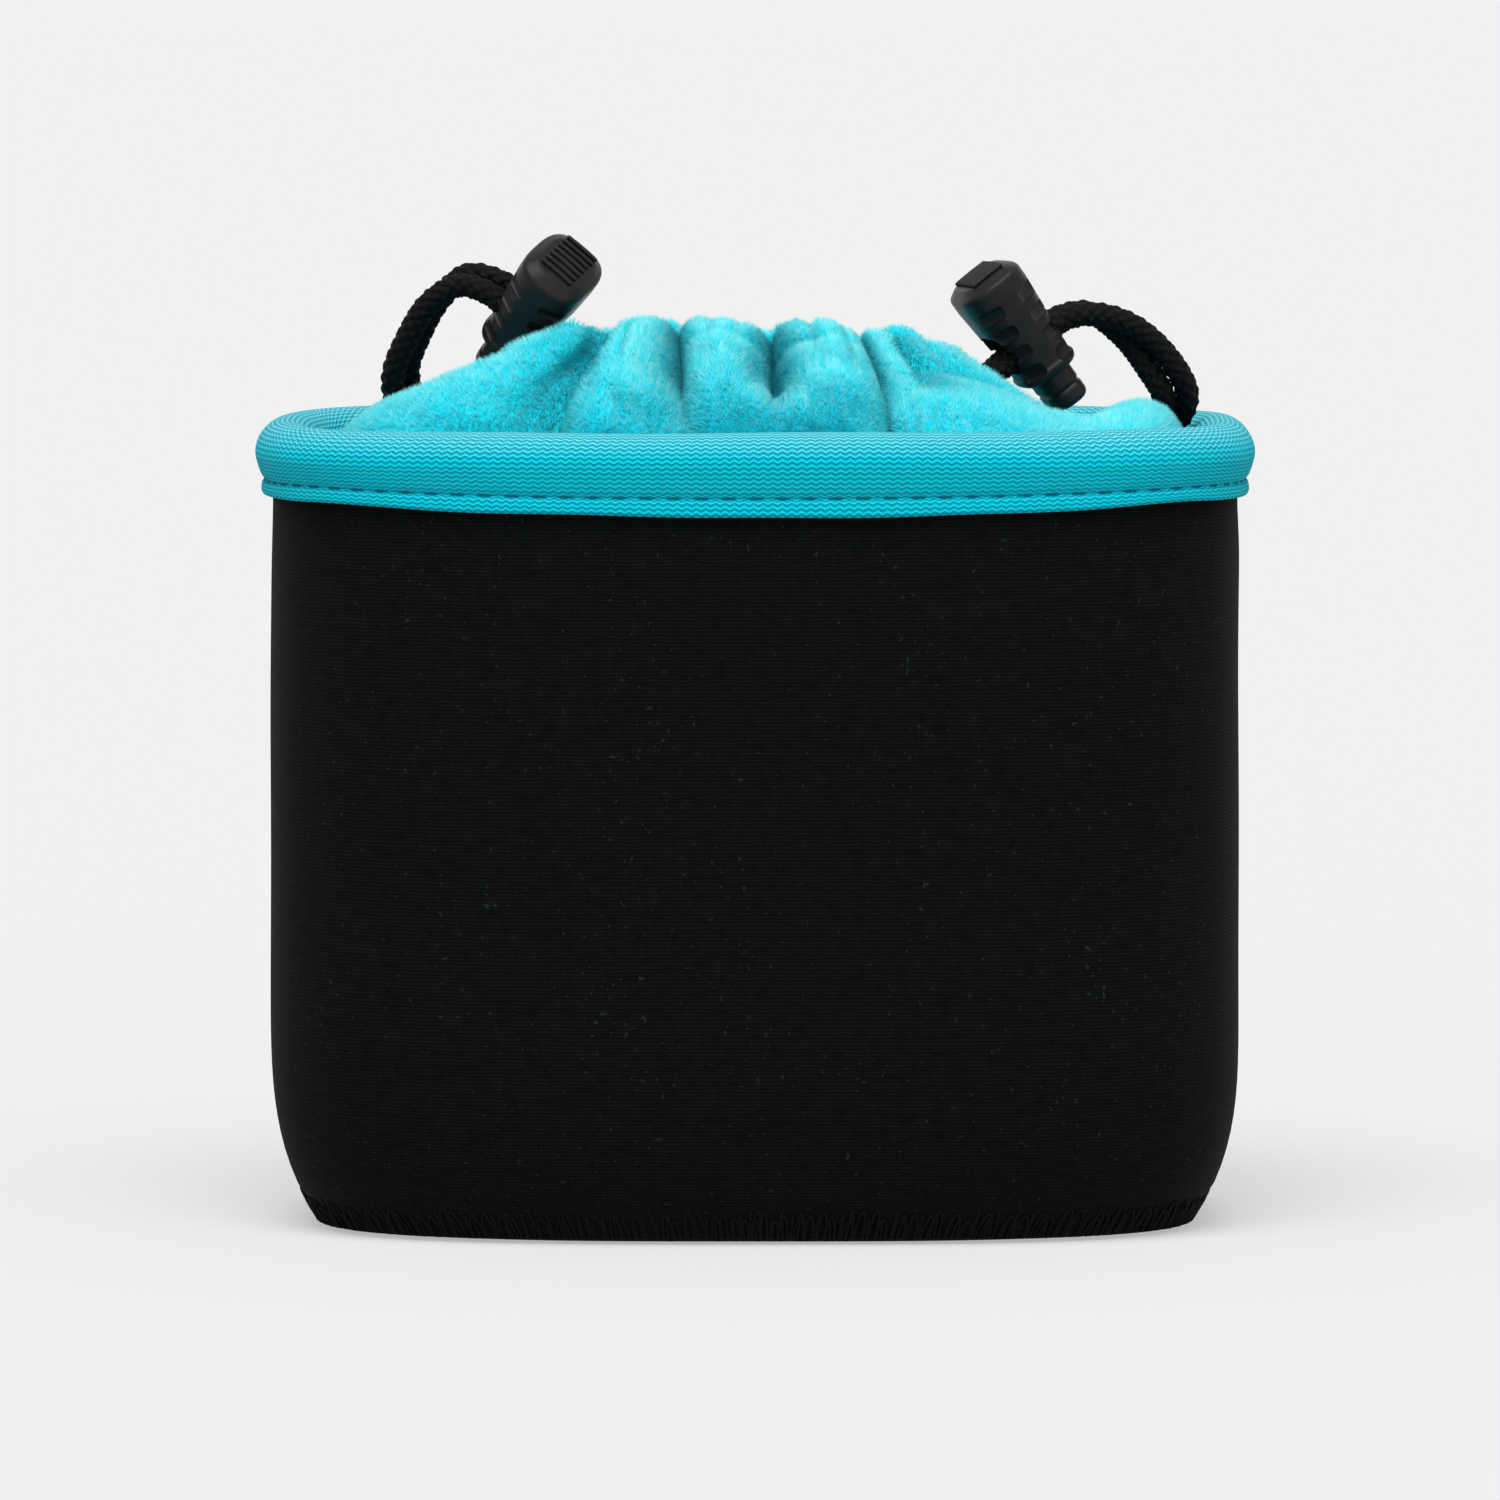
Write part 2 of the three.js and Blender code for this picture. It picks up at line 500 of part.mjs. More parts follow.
function collarPanel(which) {
  const { feet, tops, shoulders, slopes, swell } = PANELS[which];
  const pleats = swell.length;
  const offset = insideTape - TAPE_THICK - CLEAR - COLLAR_THICK;
  const [halfX, halfY] = [HALF_WIDTH + offset, HALF_DEPTH + offset];
  const power = TOP_SQUARENESS / 2;
  const angles = [-1, ...feet, 1].map((share) => Math.acos(Math.sign(share) * Math.abs(share) ** power));
  const foot = (p) => {
    const point = outlinePoint(between(angles, p), halfX, halfY, TOP_SQUARENESS, WALL_TOP - COLLAR_DROP);
    return point.setY(facing[which] * Math.max(SIDE_GAP, point.y));
  };
  const top = (p) => {
    const nearSide = Math.max(0, 1 - p, p - pleats + 1);
    const end = p < 1 ? ends.left : ends.right;
    const share = between(tops, p);
    const beside = hems[which].getPointAt(share);
    beside.addScaledVector(besideHem(which, share), HEM_OUTER + TOP_GAP);
    beside.z += TOP_RISE;
    return V(
      lerp(beside.x, end.bend.x, nearSide ** 2),
      lerp(beside.y, facing[which] * SIDE_GAP, nearSide ** 5),
      lerp(beside.z, end.bend.z - SEAM_DROP, nearSide),
    );
  };
  const profile = (p, v) => {
    const [low, high] = [foot(p), top(p)];
    const shoulder = low.clone().lerp(high, SHOULDER_IN).setZ(WALL_TOP + between(shoulders, p, true));
    const slope = low.clone().lerp(high, SLOPE_IN).setZ(WALL_TOP + between(slopes, p, true));
    return new THREE.CubicBezierCurve3(low, shoulder, slope, high).getPoint(v);
  };
  const step = 0.02; // between the points that a slope is taken from
  const normal = (p, v) => {
    const along = profile(Math.min(pleats, p + step), v).sub(profile(Math.max(0, p - step), v));
    const up = profile(p, Math.min(1, v + step)).sub(profile(p, Math.max(0, v - step)));
    return along.cross(up).normalize().multiplyScalar(-facing[which]);
  };
  const outer = [];
  const inner = [];
  for (let i = 0; i < COLLAR_ROWS; i++) {
    const v = i / (COLLAR_ROWS - 1);
    outer.push([]);
    inner.push([]);
    for (let j = 0; j <= pleats * PLEAT_STEPS; j++) {
      const p = j / PLEAT_STEPS;
      const across = Math.sin(Math.PI * (p % 1)) ** SWELL_POWER;
      const height = Math.sin(Math.PI * v * SWELL_REACH) ** SWELL_FADE;
      const rise = swell[Math.min(pleats - 1, Math.floor(p))] * across * height;
      const direction = normal(p, v);
      const middle = profile(p, v).addScaledVector(direction, rise);
      const inward = THREE.MathUtils.smoothstep(Math.max(1 - p, p - pleats + 1), ...NEAR_SEAM) * v ** 2;
      const under = middle.clone().addScaledVector(direction, -COLLAR_THICK * inward);
      const over = middle.clone().addScaledVector(direction, COLLAR_THICK * (1 - inward));
      if (j === 0 || j === pleats * PLEAT_STEPS) {
        under.setY(facing[which] * SIDE_GAP);
        over.setY(facing[which] * SIDE_GAP);
      }
      outer[i].push(over);
      inner[i].push(under);
    }
  }
  return sheet(outer, inner);
}
add("collar_front", collarPanel("front"), fleece);
add("collar_back", collarPanel("back"), fleece);

// Cuts and joins

function solidOf(geometry, matrix = new THREE.Matrix4()) {
  const bare = geometry.clone().applyMatrix4(matrix);
  bare.deleteAttribute("normal");
  bare.deleteAttribute("uv");
  const merged = mergeVertices(bare, 1e-4);
  return new wasm.Manifold(new wasm.Mesh({
    numProp: 3,
    vertProperties: merged.attributes.position.array,
    triVerts: new Uint32Array(merged.index.array),
  }));
}
function geometryFrom(solid) {
  const made = solid.getMesh();
  const geometry = new THREE.BufferGeometry();
  geometry.setAttribute("position", new THREE.BufferAttribute(new Float32Array(made.vertProperties), 3));
  geometry.setIndex(new THREE.BufferAttribute(new Uint32Array(made.triVerts), 1));
  geometry.computeVertexNormals();
  return geometry;
}

// Cord locks: barrel, button and spring

const lockRing = (halfU, halfV, z) => Array.from({ length: LOCK_POINTS }, (_, i) => (
  outlinePoint((2 * Math.PI * (i + 0.5)) / LOCK_POINTS, halfU, halfV, LOCK_SQUARENESS, z)
));
const taperTop = LOCK_TOP - LOCK_SHOULDER;
const taperAt = (z) => lerp(LOCK_TAPER, 1, Math.min(1, (z - LOCK_BOTTOM) / (taperTop - LOCK_BOTTOM)));
const boreTop = LOCK_TOP - END_WALL;

// The cord hole: straight through the middle, flared at its mouths
function holeCutter(centre, reach, flare) {
  const ring = (x, grow) => {
    const [halfV, halfW] = [HOLE_HALF_WIDTH + grow, HOLE_HALF_HEIGHT + grow];
    const [innerV, innerW] = [halfV - HOLE_CORNER, halfW - HOLE_CORNER];
    return [
      [-halfV, -innerW], [-innerV, -halfW], [innerV, -halfW], [halfV, -innerW],
      [halfV, innerW], [innerV, halfW], [-innerV, halfW], [-halfV, innerW],
    ].map(([v, w]) => V(x, v, centre + w));
  };
  const straight = reach - 2 * flare;
  const rings = [ring(-reach, flare), ring(-straight, 0), ring(straight, 0), ring(reach, flare)];
  return solidOf(cappedLoft(rings));
}

function barrel() {
  const levels = [
    ...LOCK_ROUND.map(([height, inset]) => [LOCK_BOTTOM + height, inset]),
    [taperTop, 0],
    ...LOCK_DOME.map(([depth, inset]) => [LOCK_TOP - depth, inset]),
  ];
  let solid = solidOf(cappedLoft(levels.map(([z, inset]) => (
    lockRing(LOCK_HALF_U * taperAt(z) - inset, LOCK_HALF_V * taperAt(z) - inset, z)
  ))));
  solid = solid.subtract(solidOf(cappedLoft([
    lockRing(BORE_HALF_U, BORE_HALF_V, LOCK_BOTTOM - 1),
    lockRing(BORE_HALF_U, BORE_HALF_V, boreTop),
  ])));
  solid = solid.subtract(holeCutter(0, LOCK_HALF_U + 1, HOLE_FLARE));
  const notch = new THREE.BoxGeometry(GRIP_SIZE, GRIP_SIZE, GRIP_SIZE);
  for (let level = 0; level < GRIP_LEVELS; level++) {
    const z = LOCK_BOTTOM + GRIP_START + level * GRIP_PITCH;
    const share = GRIP_SHARE * taperAt(z);
    for (const [a, b] of [[1, 1], [1, -1], [-1, 1], [-1, -1]]) {
      const place = new THREE.Matrix4().makeRotationZ(Math.PI / 4);
      place.setPosition(a * LOCK_HALF_U * share, b * LOCK_HALF_V * share, z);
      solid = solid.subtract(solidOf(notch, place));
    }
  }
  const rib = new THREE.BoxGeometry(RIB_LENGTH, RIB_WIDTH, 2 * RIB_RISE);
  for (let i = 0; i < RIB_COUNT; i++) {
    const y = (i - (RIB_COUNT - 1) / 2) * RIB_PITCH;
    solid = solid.add(solidOf(rib, new THREE.Matrix4().setPosition(0, y, LOCK_TOP)));
  }
  return geometryFrom(solid);
}

function button() {
  const [halfU, halfV] = [BORE_HALF_U - BUTTON_CLEAR, BORE_HALF_V - BUTTON_CLEAR];
  const bottom = LOCK_BOTTOM - BUTTON_SHOWS;
  const groove = (LOCK_BOTTOM + bottom) / 2;
  const levels = [
    [bottom, BUTTON_ROUND[1]], [bottom + BUTTON_ROUND[0], 0],
    [groove - BUTTON_GROOVE, 0], [groove, BUTTON_GROOVE], [groove + BUTTON_GROOVE, 0],
    [BUTTON_TOP, 0],
  ];
  const body = cappedLoft(levels.map(([z, shrink]) => lockRing(halfU - shrink, halfV - shrink, z)));
  return geometryFrom(solidOf(body).subtract(holeCutter(-BUTTON_TRAVEL, BORE_HALF_U + 1, 0)));
}

class Coil extends THREE.Curve {
  getPoint(t, target = V()) {
    const angle = 2 * Math.PI * SPRING_CURLS * t;
    const [low, high] = [BUTTON_TOP + CLEAR + SPRING_WIRE, boreTop - CLEAR - SPRING_WIRE];
    return target.set(SPRING_RADIUS * Math.cos(angle), SPRING_RADIUS * Math.sin(angle), lerp(low, high, t));
  }
}

// The straight strand in a hem's end: flat where it meets the tail
function flatCord(line) {
  const section = new THREE.Shape().absarc(0, 0, CORD_RADIUS, 0, 2 * Math.PI);
  return new THREE.ExtrudeGeometry(section, { steps: 1, curveSegments: CORD_SIDES, extrudePath: line });
}

// A tail: from the bend through the lock, over an arch and down to the knot
function tail(side, end, which) {
  const s = which === "front" ? 1 : -1;
  const half = LOCK_HALF_U * 0.65;
  const inHole = [LOCK_REACH - half, LOCK_REACH, LOCK_REACH + half, LOCK_REACH + LOCK_HALF_U + 1]
    .map((distance) => end.bend.clone()
      .addScaledVector(end.u, distance)
      .addScaledVector(end.front, s * STRAND_APART));
  const knot = aboveWall(side.knot);
  const last = aboveWall(side.tail.at(-1));
  const touch = Math.sqrt((KNOT_RADIUS + CORD_RADIUS + CLEAR) ** 2 - STRAND_APART ** 2);
  const middle = [...side.tail.map(aboveWall), knot.clone().lerp(last, touch / knot.distanceTo(last)), knot];
  const way = middle.slice(0, -1).map((point, i) => {
    const along = middle[i + 1].clone().sub(i > 0 ? middle[i - 1] : end.hole).normalize();
    const aside = end.front.clone().lerp(V(...side.frontStrand), (i + 1) / side.tail.length);
    aside.addScaledVector(along, -aside.dot(along)).normalize();
    return point.clone().addScaledVector(aside, s * STRAND_APART);
  });
  const points = [exitPoint(end, which, 0), ...inHole, ...way];
  return roundCord(new THREE.CatmullRomCurve3(points, false, "centripetal"), CORD_RADIUS, TAIL_STEPS);
}

for (const [name, side] of Object.entries(SIDES)) {
  const end = ends[name];
  for (const which of ["front", "back"]) {
    const stub = new THREE.LineCurve3(exitPoint(end, which, STUB_END), exitPoint(end, which, stubInner));
    add(`${name}_cord_${which}`, flatCord(stub), cordBraid);
    add(`${name}_tail_${which}`, tail(side, end, which), cordBraid);
  }
  const lock = new THREE.Group();
  lock.matrixAutoUpdate = false;
  lock.matrix.makeBasis(end.u, end.v, end.w).setPosition(end.hole);
  model.add(lock);
  add(`${name}_lock_barrel`, barrel(), plastic, lock);
  add(`${name}_lock_button`, button(), plastic, lock);
  add(`${name}_lock_spring`, roundCord(new Coil(), SPRING_WIRE, SPRING_CURLS * 8, SPRING_SIDES), steel, lock);
  const knot = add(`${name}_knot`, new THREE.SphereGeometry(KNOT_RADIUS, 10, 7), cordBraid);
  knot.position.copy(aboveWall(side.knot));
}

export default model;
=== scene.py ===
"""A drawstring camera case: neoprene pouch, padded rim, gathered fleece collar and two cord locks."""

import math

import bpy
import numpy as np
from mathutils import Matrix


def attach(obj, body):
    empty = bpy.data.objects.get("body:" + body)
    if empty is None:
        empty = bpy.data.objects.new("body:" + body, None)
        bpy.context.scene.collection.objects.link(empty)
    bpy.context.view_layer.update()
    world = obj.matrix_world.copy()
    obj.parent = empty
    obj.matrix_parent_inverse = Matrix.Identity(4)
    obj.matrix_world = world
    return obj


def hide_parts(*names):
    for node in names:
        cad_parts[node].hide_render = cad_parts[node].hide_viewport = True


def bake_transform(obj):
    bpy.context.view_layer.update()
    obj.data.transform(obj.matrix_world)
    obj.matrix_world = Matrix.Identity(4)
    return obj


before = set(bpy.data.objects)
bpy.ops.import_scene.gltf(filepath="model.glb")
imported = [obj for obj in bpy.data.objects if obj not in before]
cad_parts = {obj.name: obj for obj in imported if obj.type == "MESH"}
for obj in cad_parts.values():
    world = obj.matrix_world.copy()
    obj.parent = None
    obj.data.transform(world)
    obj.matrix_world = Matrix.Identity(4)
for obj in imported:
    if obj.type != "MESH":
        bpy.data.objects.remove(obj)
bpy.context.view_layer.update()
mm = 0.001

# The studio: a pale sheet that runs on behind the case, light from all round with one broad soft lamp above
# and a softer one in front, and the camera, which stands 2.2 m away and looks down a little on the rim.

paper_shade, paper_glow, paper_bounce = 0.42, 0.43, 0.5
backdrop_seen, backdrop_light = 0.875, 0.37
suns = {
    "above": {"azimuth": -8, "height": 64, "strength": 2.1, "softness": 40},
    "front": {"azimuth": 20, "height": 20, "strength": 0.8, "softness": 90},
}
camera_place = (-0.9 * mm, -2.2, 0.255)
camera_tilt = 4.507

floor_mesh = bpy.data.meshes.new("floor")
floor_mesh.from_pydata([(-30, -6, 0), (30, -6, 0), (30, 60, 0), (-30, 60, 0)], [], [(0, 1, 2, 3)])
floor = bpy.data.objects.new("floor", floor_mesh)
floor.location.z = -0.1 * mm
bpy.context.scene.collection.objects.link(floor)


def seen_or_lit(tree, seen, lit, target):
    """One shader for what the camera, a gloss or a glass sees, and another for the light on the case."""
    rays = tree.nodes.new("ShaderNodeLightPath").outputs
    first, second = (tree.nodes.new("ShaderNodeMath") for _ in range(2))
    mix = tree.nodes.new("ShaderNodeMixShader")
    for node, low, high in ((first, rays["Is Camera Ray"], rays["Is Glossy Ray"]),
                            (second, first.outputs[0], rays["Is Transmission Ray"])):
        node.operation = "MAXIMUM"
        tree.links.new(low, node.inputs[0])
        tree.links.new(high, node.inputs[1])
    tree.links.new(second.outputs[0], mix.inputs[0])
    tree.links.new(lit, mix.inputs[1])
    tree.links.new(seen, mix.inputs[2])
    tree.links.new(mix.outputs[0], target)


def shade(tree, kind, strength):
    """A grey shader: a matt surface or a light."""
    node = tree.nodes.new(kind)
    node.inputs["Color"].default_value = (strength, strength, strength, 1)
    return node.outputs[0]


paper = bpy.data.materials.new("paper")
paper.use_nodes = True
tree = paper.node_tree
tree.nodes.remove(tree.nodes["Principled BSDF"])
both = tree.nodes.new("ShaderNodeAddShader")
tree.links.new(shade(tree, "ShaderNodeBsdfDiffuse", paper_shade), both.inputs[0])
tree.links.new(shade(tree, "ShaderNodeEmission", paper_glow), both.inputs[1])
seen_or_lit(tree, both.outputs[0], shade(tree, "ShaderNodeBsdfDiffuse", paper_bounce),
            tree.nodes["Material Output"].inputs["Surface"])
floor_mesh.materials.append(paper)

world = bpy.data.worlds.new("studio")
bpy.context.scene.world = world
world.use_nodes = True
tree = world.node_tree
tree.nodes.remove(tree.nodes["Background"])
seen_or_lit(tree, shade(tree, "ShaderNodeBackground", backdrop_seen),
            shade(tree, "ShaderNodeBackground", backdrop_light), tree.nodes["World Output"].inputs["Surface"])
for name, sun in suns.items():
    lamp = bpy.data.lights.new(name, "SUN")
    lamp.energy = sun["strength"]
    lamp.angle = math.radians(sun["softness"])
    placed = bpy.data.objects.new(name, lamp)
    placed.rotation_euler = (math.radians(90 - sun["height"]), 0, math.radians(sun["azimuth"]))
    bpy.context.scene.collection.objects.link(placed)

camera_lens = bpy.data.cameras.new("camera")
camera_lens.lens = 304.4
camera_lens.sensor_width = 36
camera_lens.clip_end = 200
camera = bpy.data.objects.new("camera", camera_lens)
camera.location = camera_place
camera.rotation_euler = (math.radians(90 - camera_tilt), 0, 0)
bpy.context.scene.collection.objects.link(camera)
bpy.context.scene.camera = camera
bpy.context.scene.view_settings.view_transform = "Standard"

# Drawstrings: 4 mm black braid. Each hem's cord leaves it as a strand at either side. The two strands of a
# side run through the cord lock, arch over and hang down behind the rim to one knot.

wall_top = 128.2 * mm
cord_radius = 2 * mm
strand_spread = 3.3 * mm
exit_slope = math.radians(35)
hem_end = 3.3 * mm
hem_depth = 14.3 * mm
lock_reach, lock_rise = 8.6 * mm, 1.5 * mm
lock_half_u = 6.2 * mm
strand_apart = 2.25 * mm
knot_radius = 4.5 * mm
sides = {
    "left": {
        "way": -1, "bend": (-32.8, 0.3, 23.3), "long": (0.45, -0.62, 0.64), "out": (-0.755, 0.118, 0.645),
        "tail": [(-50.6, 3.6, 35), (-55.8, 5.2, 31.2), (-59.6, 7.6, 24.8), (-61.8, 10.5, 18.8),
                 (-61, 15, 13)],
        "front_strand": (-0.55, -0.8, 0), "knot": (-56, 23.5, 6.8),
    },
    "right": {
        "way": 1, "bend": (40.8, -1.2, 18.8), "long": (-0.574, -0.174, 0.8), "out": (0.7645, 0.2383, 0.6),
        "tail": [(58.6, 4, 29.2), (64.7, 4.8, 26.2), (70, 5.6, 20.6), (73.2, 7.4, 14.8),
                 (71.6, 12.6, 9.8)],
        "front_strand": (0.85, 0.5, 0), "knot": (62, 24, 6),
    },
}


def above_wall(point):
    """A point given in millimetres, its height counted from the wall's top."""
    return np.array(point, float) * mm + [0, 0, wall_top]


def unit(vectors):
    """The vectors, each divided by its length."""
    return vectors / np.linalg.norm(vectors, axis=-1, keepdims=True)


def across(vector, along):
    """The part of a vector that is square to another, at length one."""
    return unit(vector - (vector * along).sum(-1, keepdims=True) * along)


def side_axes(side):
    """Where a side's strands bend out of the hem, and its lock's axes: u along the cord hole, v across the
    two strands, w along the barrel."""
    w = unit(np.array(side["long"]))
    u = across(np.array(side["out"]), w)
    v = np.cross(w, u)
    bend = above_wall(side["bend"])
    hole = bend + lock_reach * u + lock_rise * w
    pull = np.array([side["way"] * math.cos(exit_slope), 0, math.sin(exit_slope)])
    return {"u": u, "v": v, "w": w, "bend": bend, "hole": hole, "pull": pull, "front": -np.sign(v[1]) * v}


def smooth_line(points, step):
    """A centripetal Catmull-Rom curve through the points, as points a step apart along it: on each stretch a
    cubic whose slopes come from the neighbours, each gap weighed by the square root of its length."""
    points = np.array(points, float)
    points = np.vstack([2 * points[:1] - points[1:2], points, 2 * points[-1:] - points[-2:-1]])
    p0, p1, p2, p3 = points[:-3], points[1:-2], points[2:-1], points[3:]
    gap = [np.linalg.norm(b - a, axis=1, keepdims=True) ** 0.5 for a, b in ((p0, p1), (p1, p2), (p2, p3))]
    start = (p1 - p0) / gap[0] - (p2 - p0) / (gap[0] + gap[1]) + (p2 - p1) / gap[1]
    end = (p2 - p1) / gap[1] - (p3 - p1) / (gap[1] + gap[2]) + (p3 - p2) / gap[2]
    start, end = start * gap[1], end * gap[1]
    t = np.linspace(0, 1, 60, endpoint=False)[None, :, None]
    p1, p2, start, end = p1[:, None], p2[:, None], start[:, None], end[:, None]
    curve = p1 + start * t + (3 * (p2 - p1) - 2 * start - end) * t**2 + (2 * (p1 - p2) + start + end) * t**3
    return evenly(np.vstack([curve.reshape(-1, points.shape[1]), points[-2:-1]]), step)


def run_of(line):
    """Each point's distance along a line."""
    return np.concatenate([[0], np.cumsum(np.linalg.norm(np.diff(line, axis=0), axis=1))])


def evenly(line, step):
    """The same line with its points a step apart."""
    run = run_of(line)
    at = np.linspace(0, run[-1], max(2, round(run[-1] / step) + 1))
    return np.stack([np.interp(at, run, values) for values in line.T], axis=1)


def quads(points, loop=False, wrap=True, uv=None):
    """The faces of a grid of points, rows by columns: vertices, corners, corners per face and each corner's
    place in the UV map. The columns join round where wrap is true and the rows where loop is. The two open
    ends of a tube are closed by a fan round their middle. uv gives the corners' places, so it has a row and
    a column more than there are rows and columns of faces."""
    rows, columns = points.shape[:2]
    i, j = np.meshgrid(np.arange(rows - (not loop)), np.arange(columns - (not wrap)), indexing="ij")
    ring = [(i, j), (i, j + 1), (i + 1, j + 1), (i + 1, j)]
    corners = np.stack([(a % rows) * columns + b % columns for a, b in ring], -1).ravel()
    sizes = np.full(i.size, 4)
    vertices = points.reshape(-1, 3)
    uv = np.zeros((rows + 1, columns + 1, 2)) if uv is None else uv
    spread = np.stack([uv[a, b] for a, b in ring], -2).reshape(-1, 2)
    if wrap and not loop:
        here = np.arange(columns)
        after, last = (here + 1) % columns, (rows - 1) * columns
        fans = [np.full(columns, rows * columns), after, here, np.full(columns, rows * columns + 1)]
        fans = np.concatenate([np.stack(fans[:3], -1), np.stack([fans[3], last + here, last + after], -1)])
        corners = np.concatenate([corners, fans.ravel()])
        sizes = np.concatenate([sizes, np.full(2 * columns, 3)])
        vertices = np.vstack([vertices, points[0].mean(0), points[-1].mean(0)])
        spread = np.vstack([spread, np.zeros((6 * columns, 2))])
    return vertices, corners, sizes, spread


def outward(vertices, corners, sizes, spread):
    """The same faces, turned round where the volume between them and the origin is negative."""
    starts = np.cumsum(sizes) - sizes
    volume = 0.0
    for step in range(1, int(sizes.max()) - 1):
        first = starts[sizes > step + 1]
        a, b, c = (vertices[corners[first + k]] for k in (0, step, step + 1))
        volume += (a * np.cross(b, c)).sum()
    if volume < 0:
        turned = np.repeat(2 * starts + sizes - 1, sizes) - np.arange(len(corners))
        corners, spread = corners[turned], spread[turned]
    return vertices, corners, sizes, spread


def make(name, *parts):
    """An object from parts, each as quads gives it, with their faces turned outwards."""
    parts = [outward(*part) for part in parts]
    shifts = np.cumsum([0] + [len(part[0]) for part in parts])
    vertices, sizes, spread = (np.concatenate([part[k] for part in parts]) for k in (0, 2, 3))
    corners = np.concatenate([part[1] + shift for part, shift in zip(parts, shifts)])
    mesh = bpy.data.meshes.new(name)
    mesh.vertices.add(len(vertices))
    mesh.vertices.foreach_set("co", vertices.astype(np.float32).ravel())
    mesh.loops.add(len(corners))
    mesh.loops.foreach_set("vertex_index", corners.astype(np.int32))
    mesh.polygons.add(len(sizes))
    mesh.polygons.foreach_set("loop_start", (np.cumsum(sizes) - sizes).astype(np.int32))
    mesh.polygons.foreach_set("use_smooth", np.ones(len(sizes), bool))
    mesh.uv_layers.new(name="UVMap").data.foreach_set("uv", spread.astype(np.float32).ravel())
    mesh.update(calc_edges=True)
    piece = bpy.data.objects.new(name, mesh)
    bpy.context.scene.collection.objects.link(piece)
    return piece


def spread_of(points, loop=False, wrap=True):
    """A UV map in metres for a grid of points: distance along the longest row, and distance up the middle
    column."""
    rows = np.concatenate([points, points[:1]]) if loop else points
    rows = np.concatenate([rows, rows[:, :1]], axis=1) if wrap else rows
    steps = np.linalg.norm(np.diff(rows, axis=1), axis=2)
    u = np.concatenate([[0], np.cumsum(steps[steps.sum(1).argmax()])])
    v = run_of(rows[:, rows.shape[1] // 2])
    return np.stack(np.meshgrid(u, v), -1)


def full_turn(count):
    """Angles once round, evenly apart."""
    return np.linspace(0, 2 * math.pi, count, endpoint=False)


def tube(line, reference, radius, columns, dome=True, loop=False):
    """A tube along a line: each ring is the line's point plus radius times (cosine, sine) of the angle in the
    plane square to the line, turned so that angle 0 lies towards reference. A domed end goes on for a
    quarter turn."""
    along = unit(np.roll(line, -1, 0) - np.roll(line, 1, 0) if loop else np.gradient(line, axis=0))
    side = across(np.broadcast_to(reference, line.shape), along)
    angle = full_turn(columns)[:, None]
    radius = np.broadcast_to(radius, (len(line), columns))[..., None]
    ring = np.cos(angle) * side[:, None] + np.sin(angle) * np.cross(along, side)[:, None]
    points = line[:, None] + radius * ring
    if dome and not loop:
        turn = np.radians([20, 45, 68, 82])[:, None, None]
        size = radius.mean()
        tail = line[-1] + size * np.sin(turn) * along[-1] + radius[-1] * np.cos(turn) * ring[-1]
        turn = turn[::-1]
        head = line[0] - size * np.sin(turn) * along[0] + radius[0] * np.cos(turn) * ring[0]
        points = np.concatenate([head, points, tail])
    return points


def belongs(piece, body, slot, material, *nodes):
    """The piece gets its material, moves with the body and stands for the nodes."""
    piece.data.materials.append(material)
    if body:
        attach(piece, body)
    if nodes:
        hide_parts(*nodes)
    return piece


def store(piece, name, values):
    """One number for each point of the piece, for its material."""
    values = values.astype(np.float32).ravel()
    piece.data.attributes.new(name, "FLOAT", "POINT").data.foreach_set("value", values)


def plain(name, colour, roughness, **sockets):
    """A material of one colour and roughness, before its pattern is added, and its shader."""
    material = bpy.data.materials.new(name)
    material.use_nodes = True
    shader = material.node_tree.nodes["Principled BSDF"]
    shader.inputs["Base Color"].default_value = (*colour, 1)
    shader.inputs["Roughness"].default_value = roughness
    for socket, value in sockets.items():
        shader.inputs[socket.replace("_", " ")].default_value = value
    return material, shader


def add(material, kind, inputs, output=0, **settings):
    """A shader node's output: settings are the node's own, and an input gets a value or another node's
    output."""
    tree = material.node_tree
    node = tree.nodes.new("ShaderNode" + kind)
    for key, value in settings.items():
        setattr(node, key, value)
    for key, value in inputs.items():
        if isinstance(value, bpy.types.NodeSocket):
            tree.links.new(value, node.inputs[key])
        else:
            node.inputs[key].default_value = value
    return node.outputs[output]


def maths(material, operation, *values):
    """The result of one sum on numbers or outputs."""
    return add(material, "Math", dict(enumerate(values)), operation=operation)


def between_colours(material, share, low, high):
    """A colour between two, by share."""
    low, high = ((*c, 1) if isinstance(c, tuple) else c for c in (low, high))
    return add(material, "MixRGB", {"Fac": share, "Color1": low, "Color2": high})


def stored(material, name):
    """A piece's stored number."""
    return add(material, "Attribute", {}, output=2, attribute_name=name)


def speckle(material, scale, detail=2, stretch=(1, 1, 1)):
    """Noise from 0 to 1 in the piece's own space, scale cells a metre, drawn out by stretch."""
    place = add(material, "TexCoord", {}, output=3)
    place = add(material, "Mapping", {"Vector": place, "Scale": stretch})
    return add(material, "TexNoise", {"Vector": place, "Scale": scale, "Detail": detail})


def finish(material, shader, colour=None, roughness=None, height=None, depth=0.0):
    """Outputs that vary over the piece go to the shader: its colour, its roughness, and a height that bends
    the normal, whose full step is depth metres."""
    links = material.node_tree.links
    if colour is not None:
        links.new(colour, shader.inputs["Base Color"])
    if roughness is not None:
        links.new(roughness, shader.inputs["Roughness"])
    if height is not None:
        links.new(add(material, "Bump", {"Height": height, "Distance": depth}), shader.inputs["Normal"])


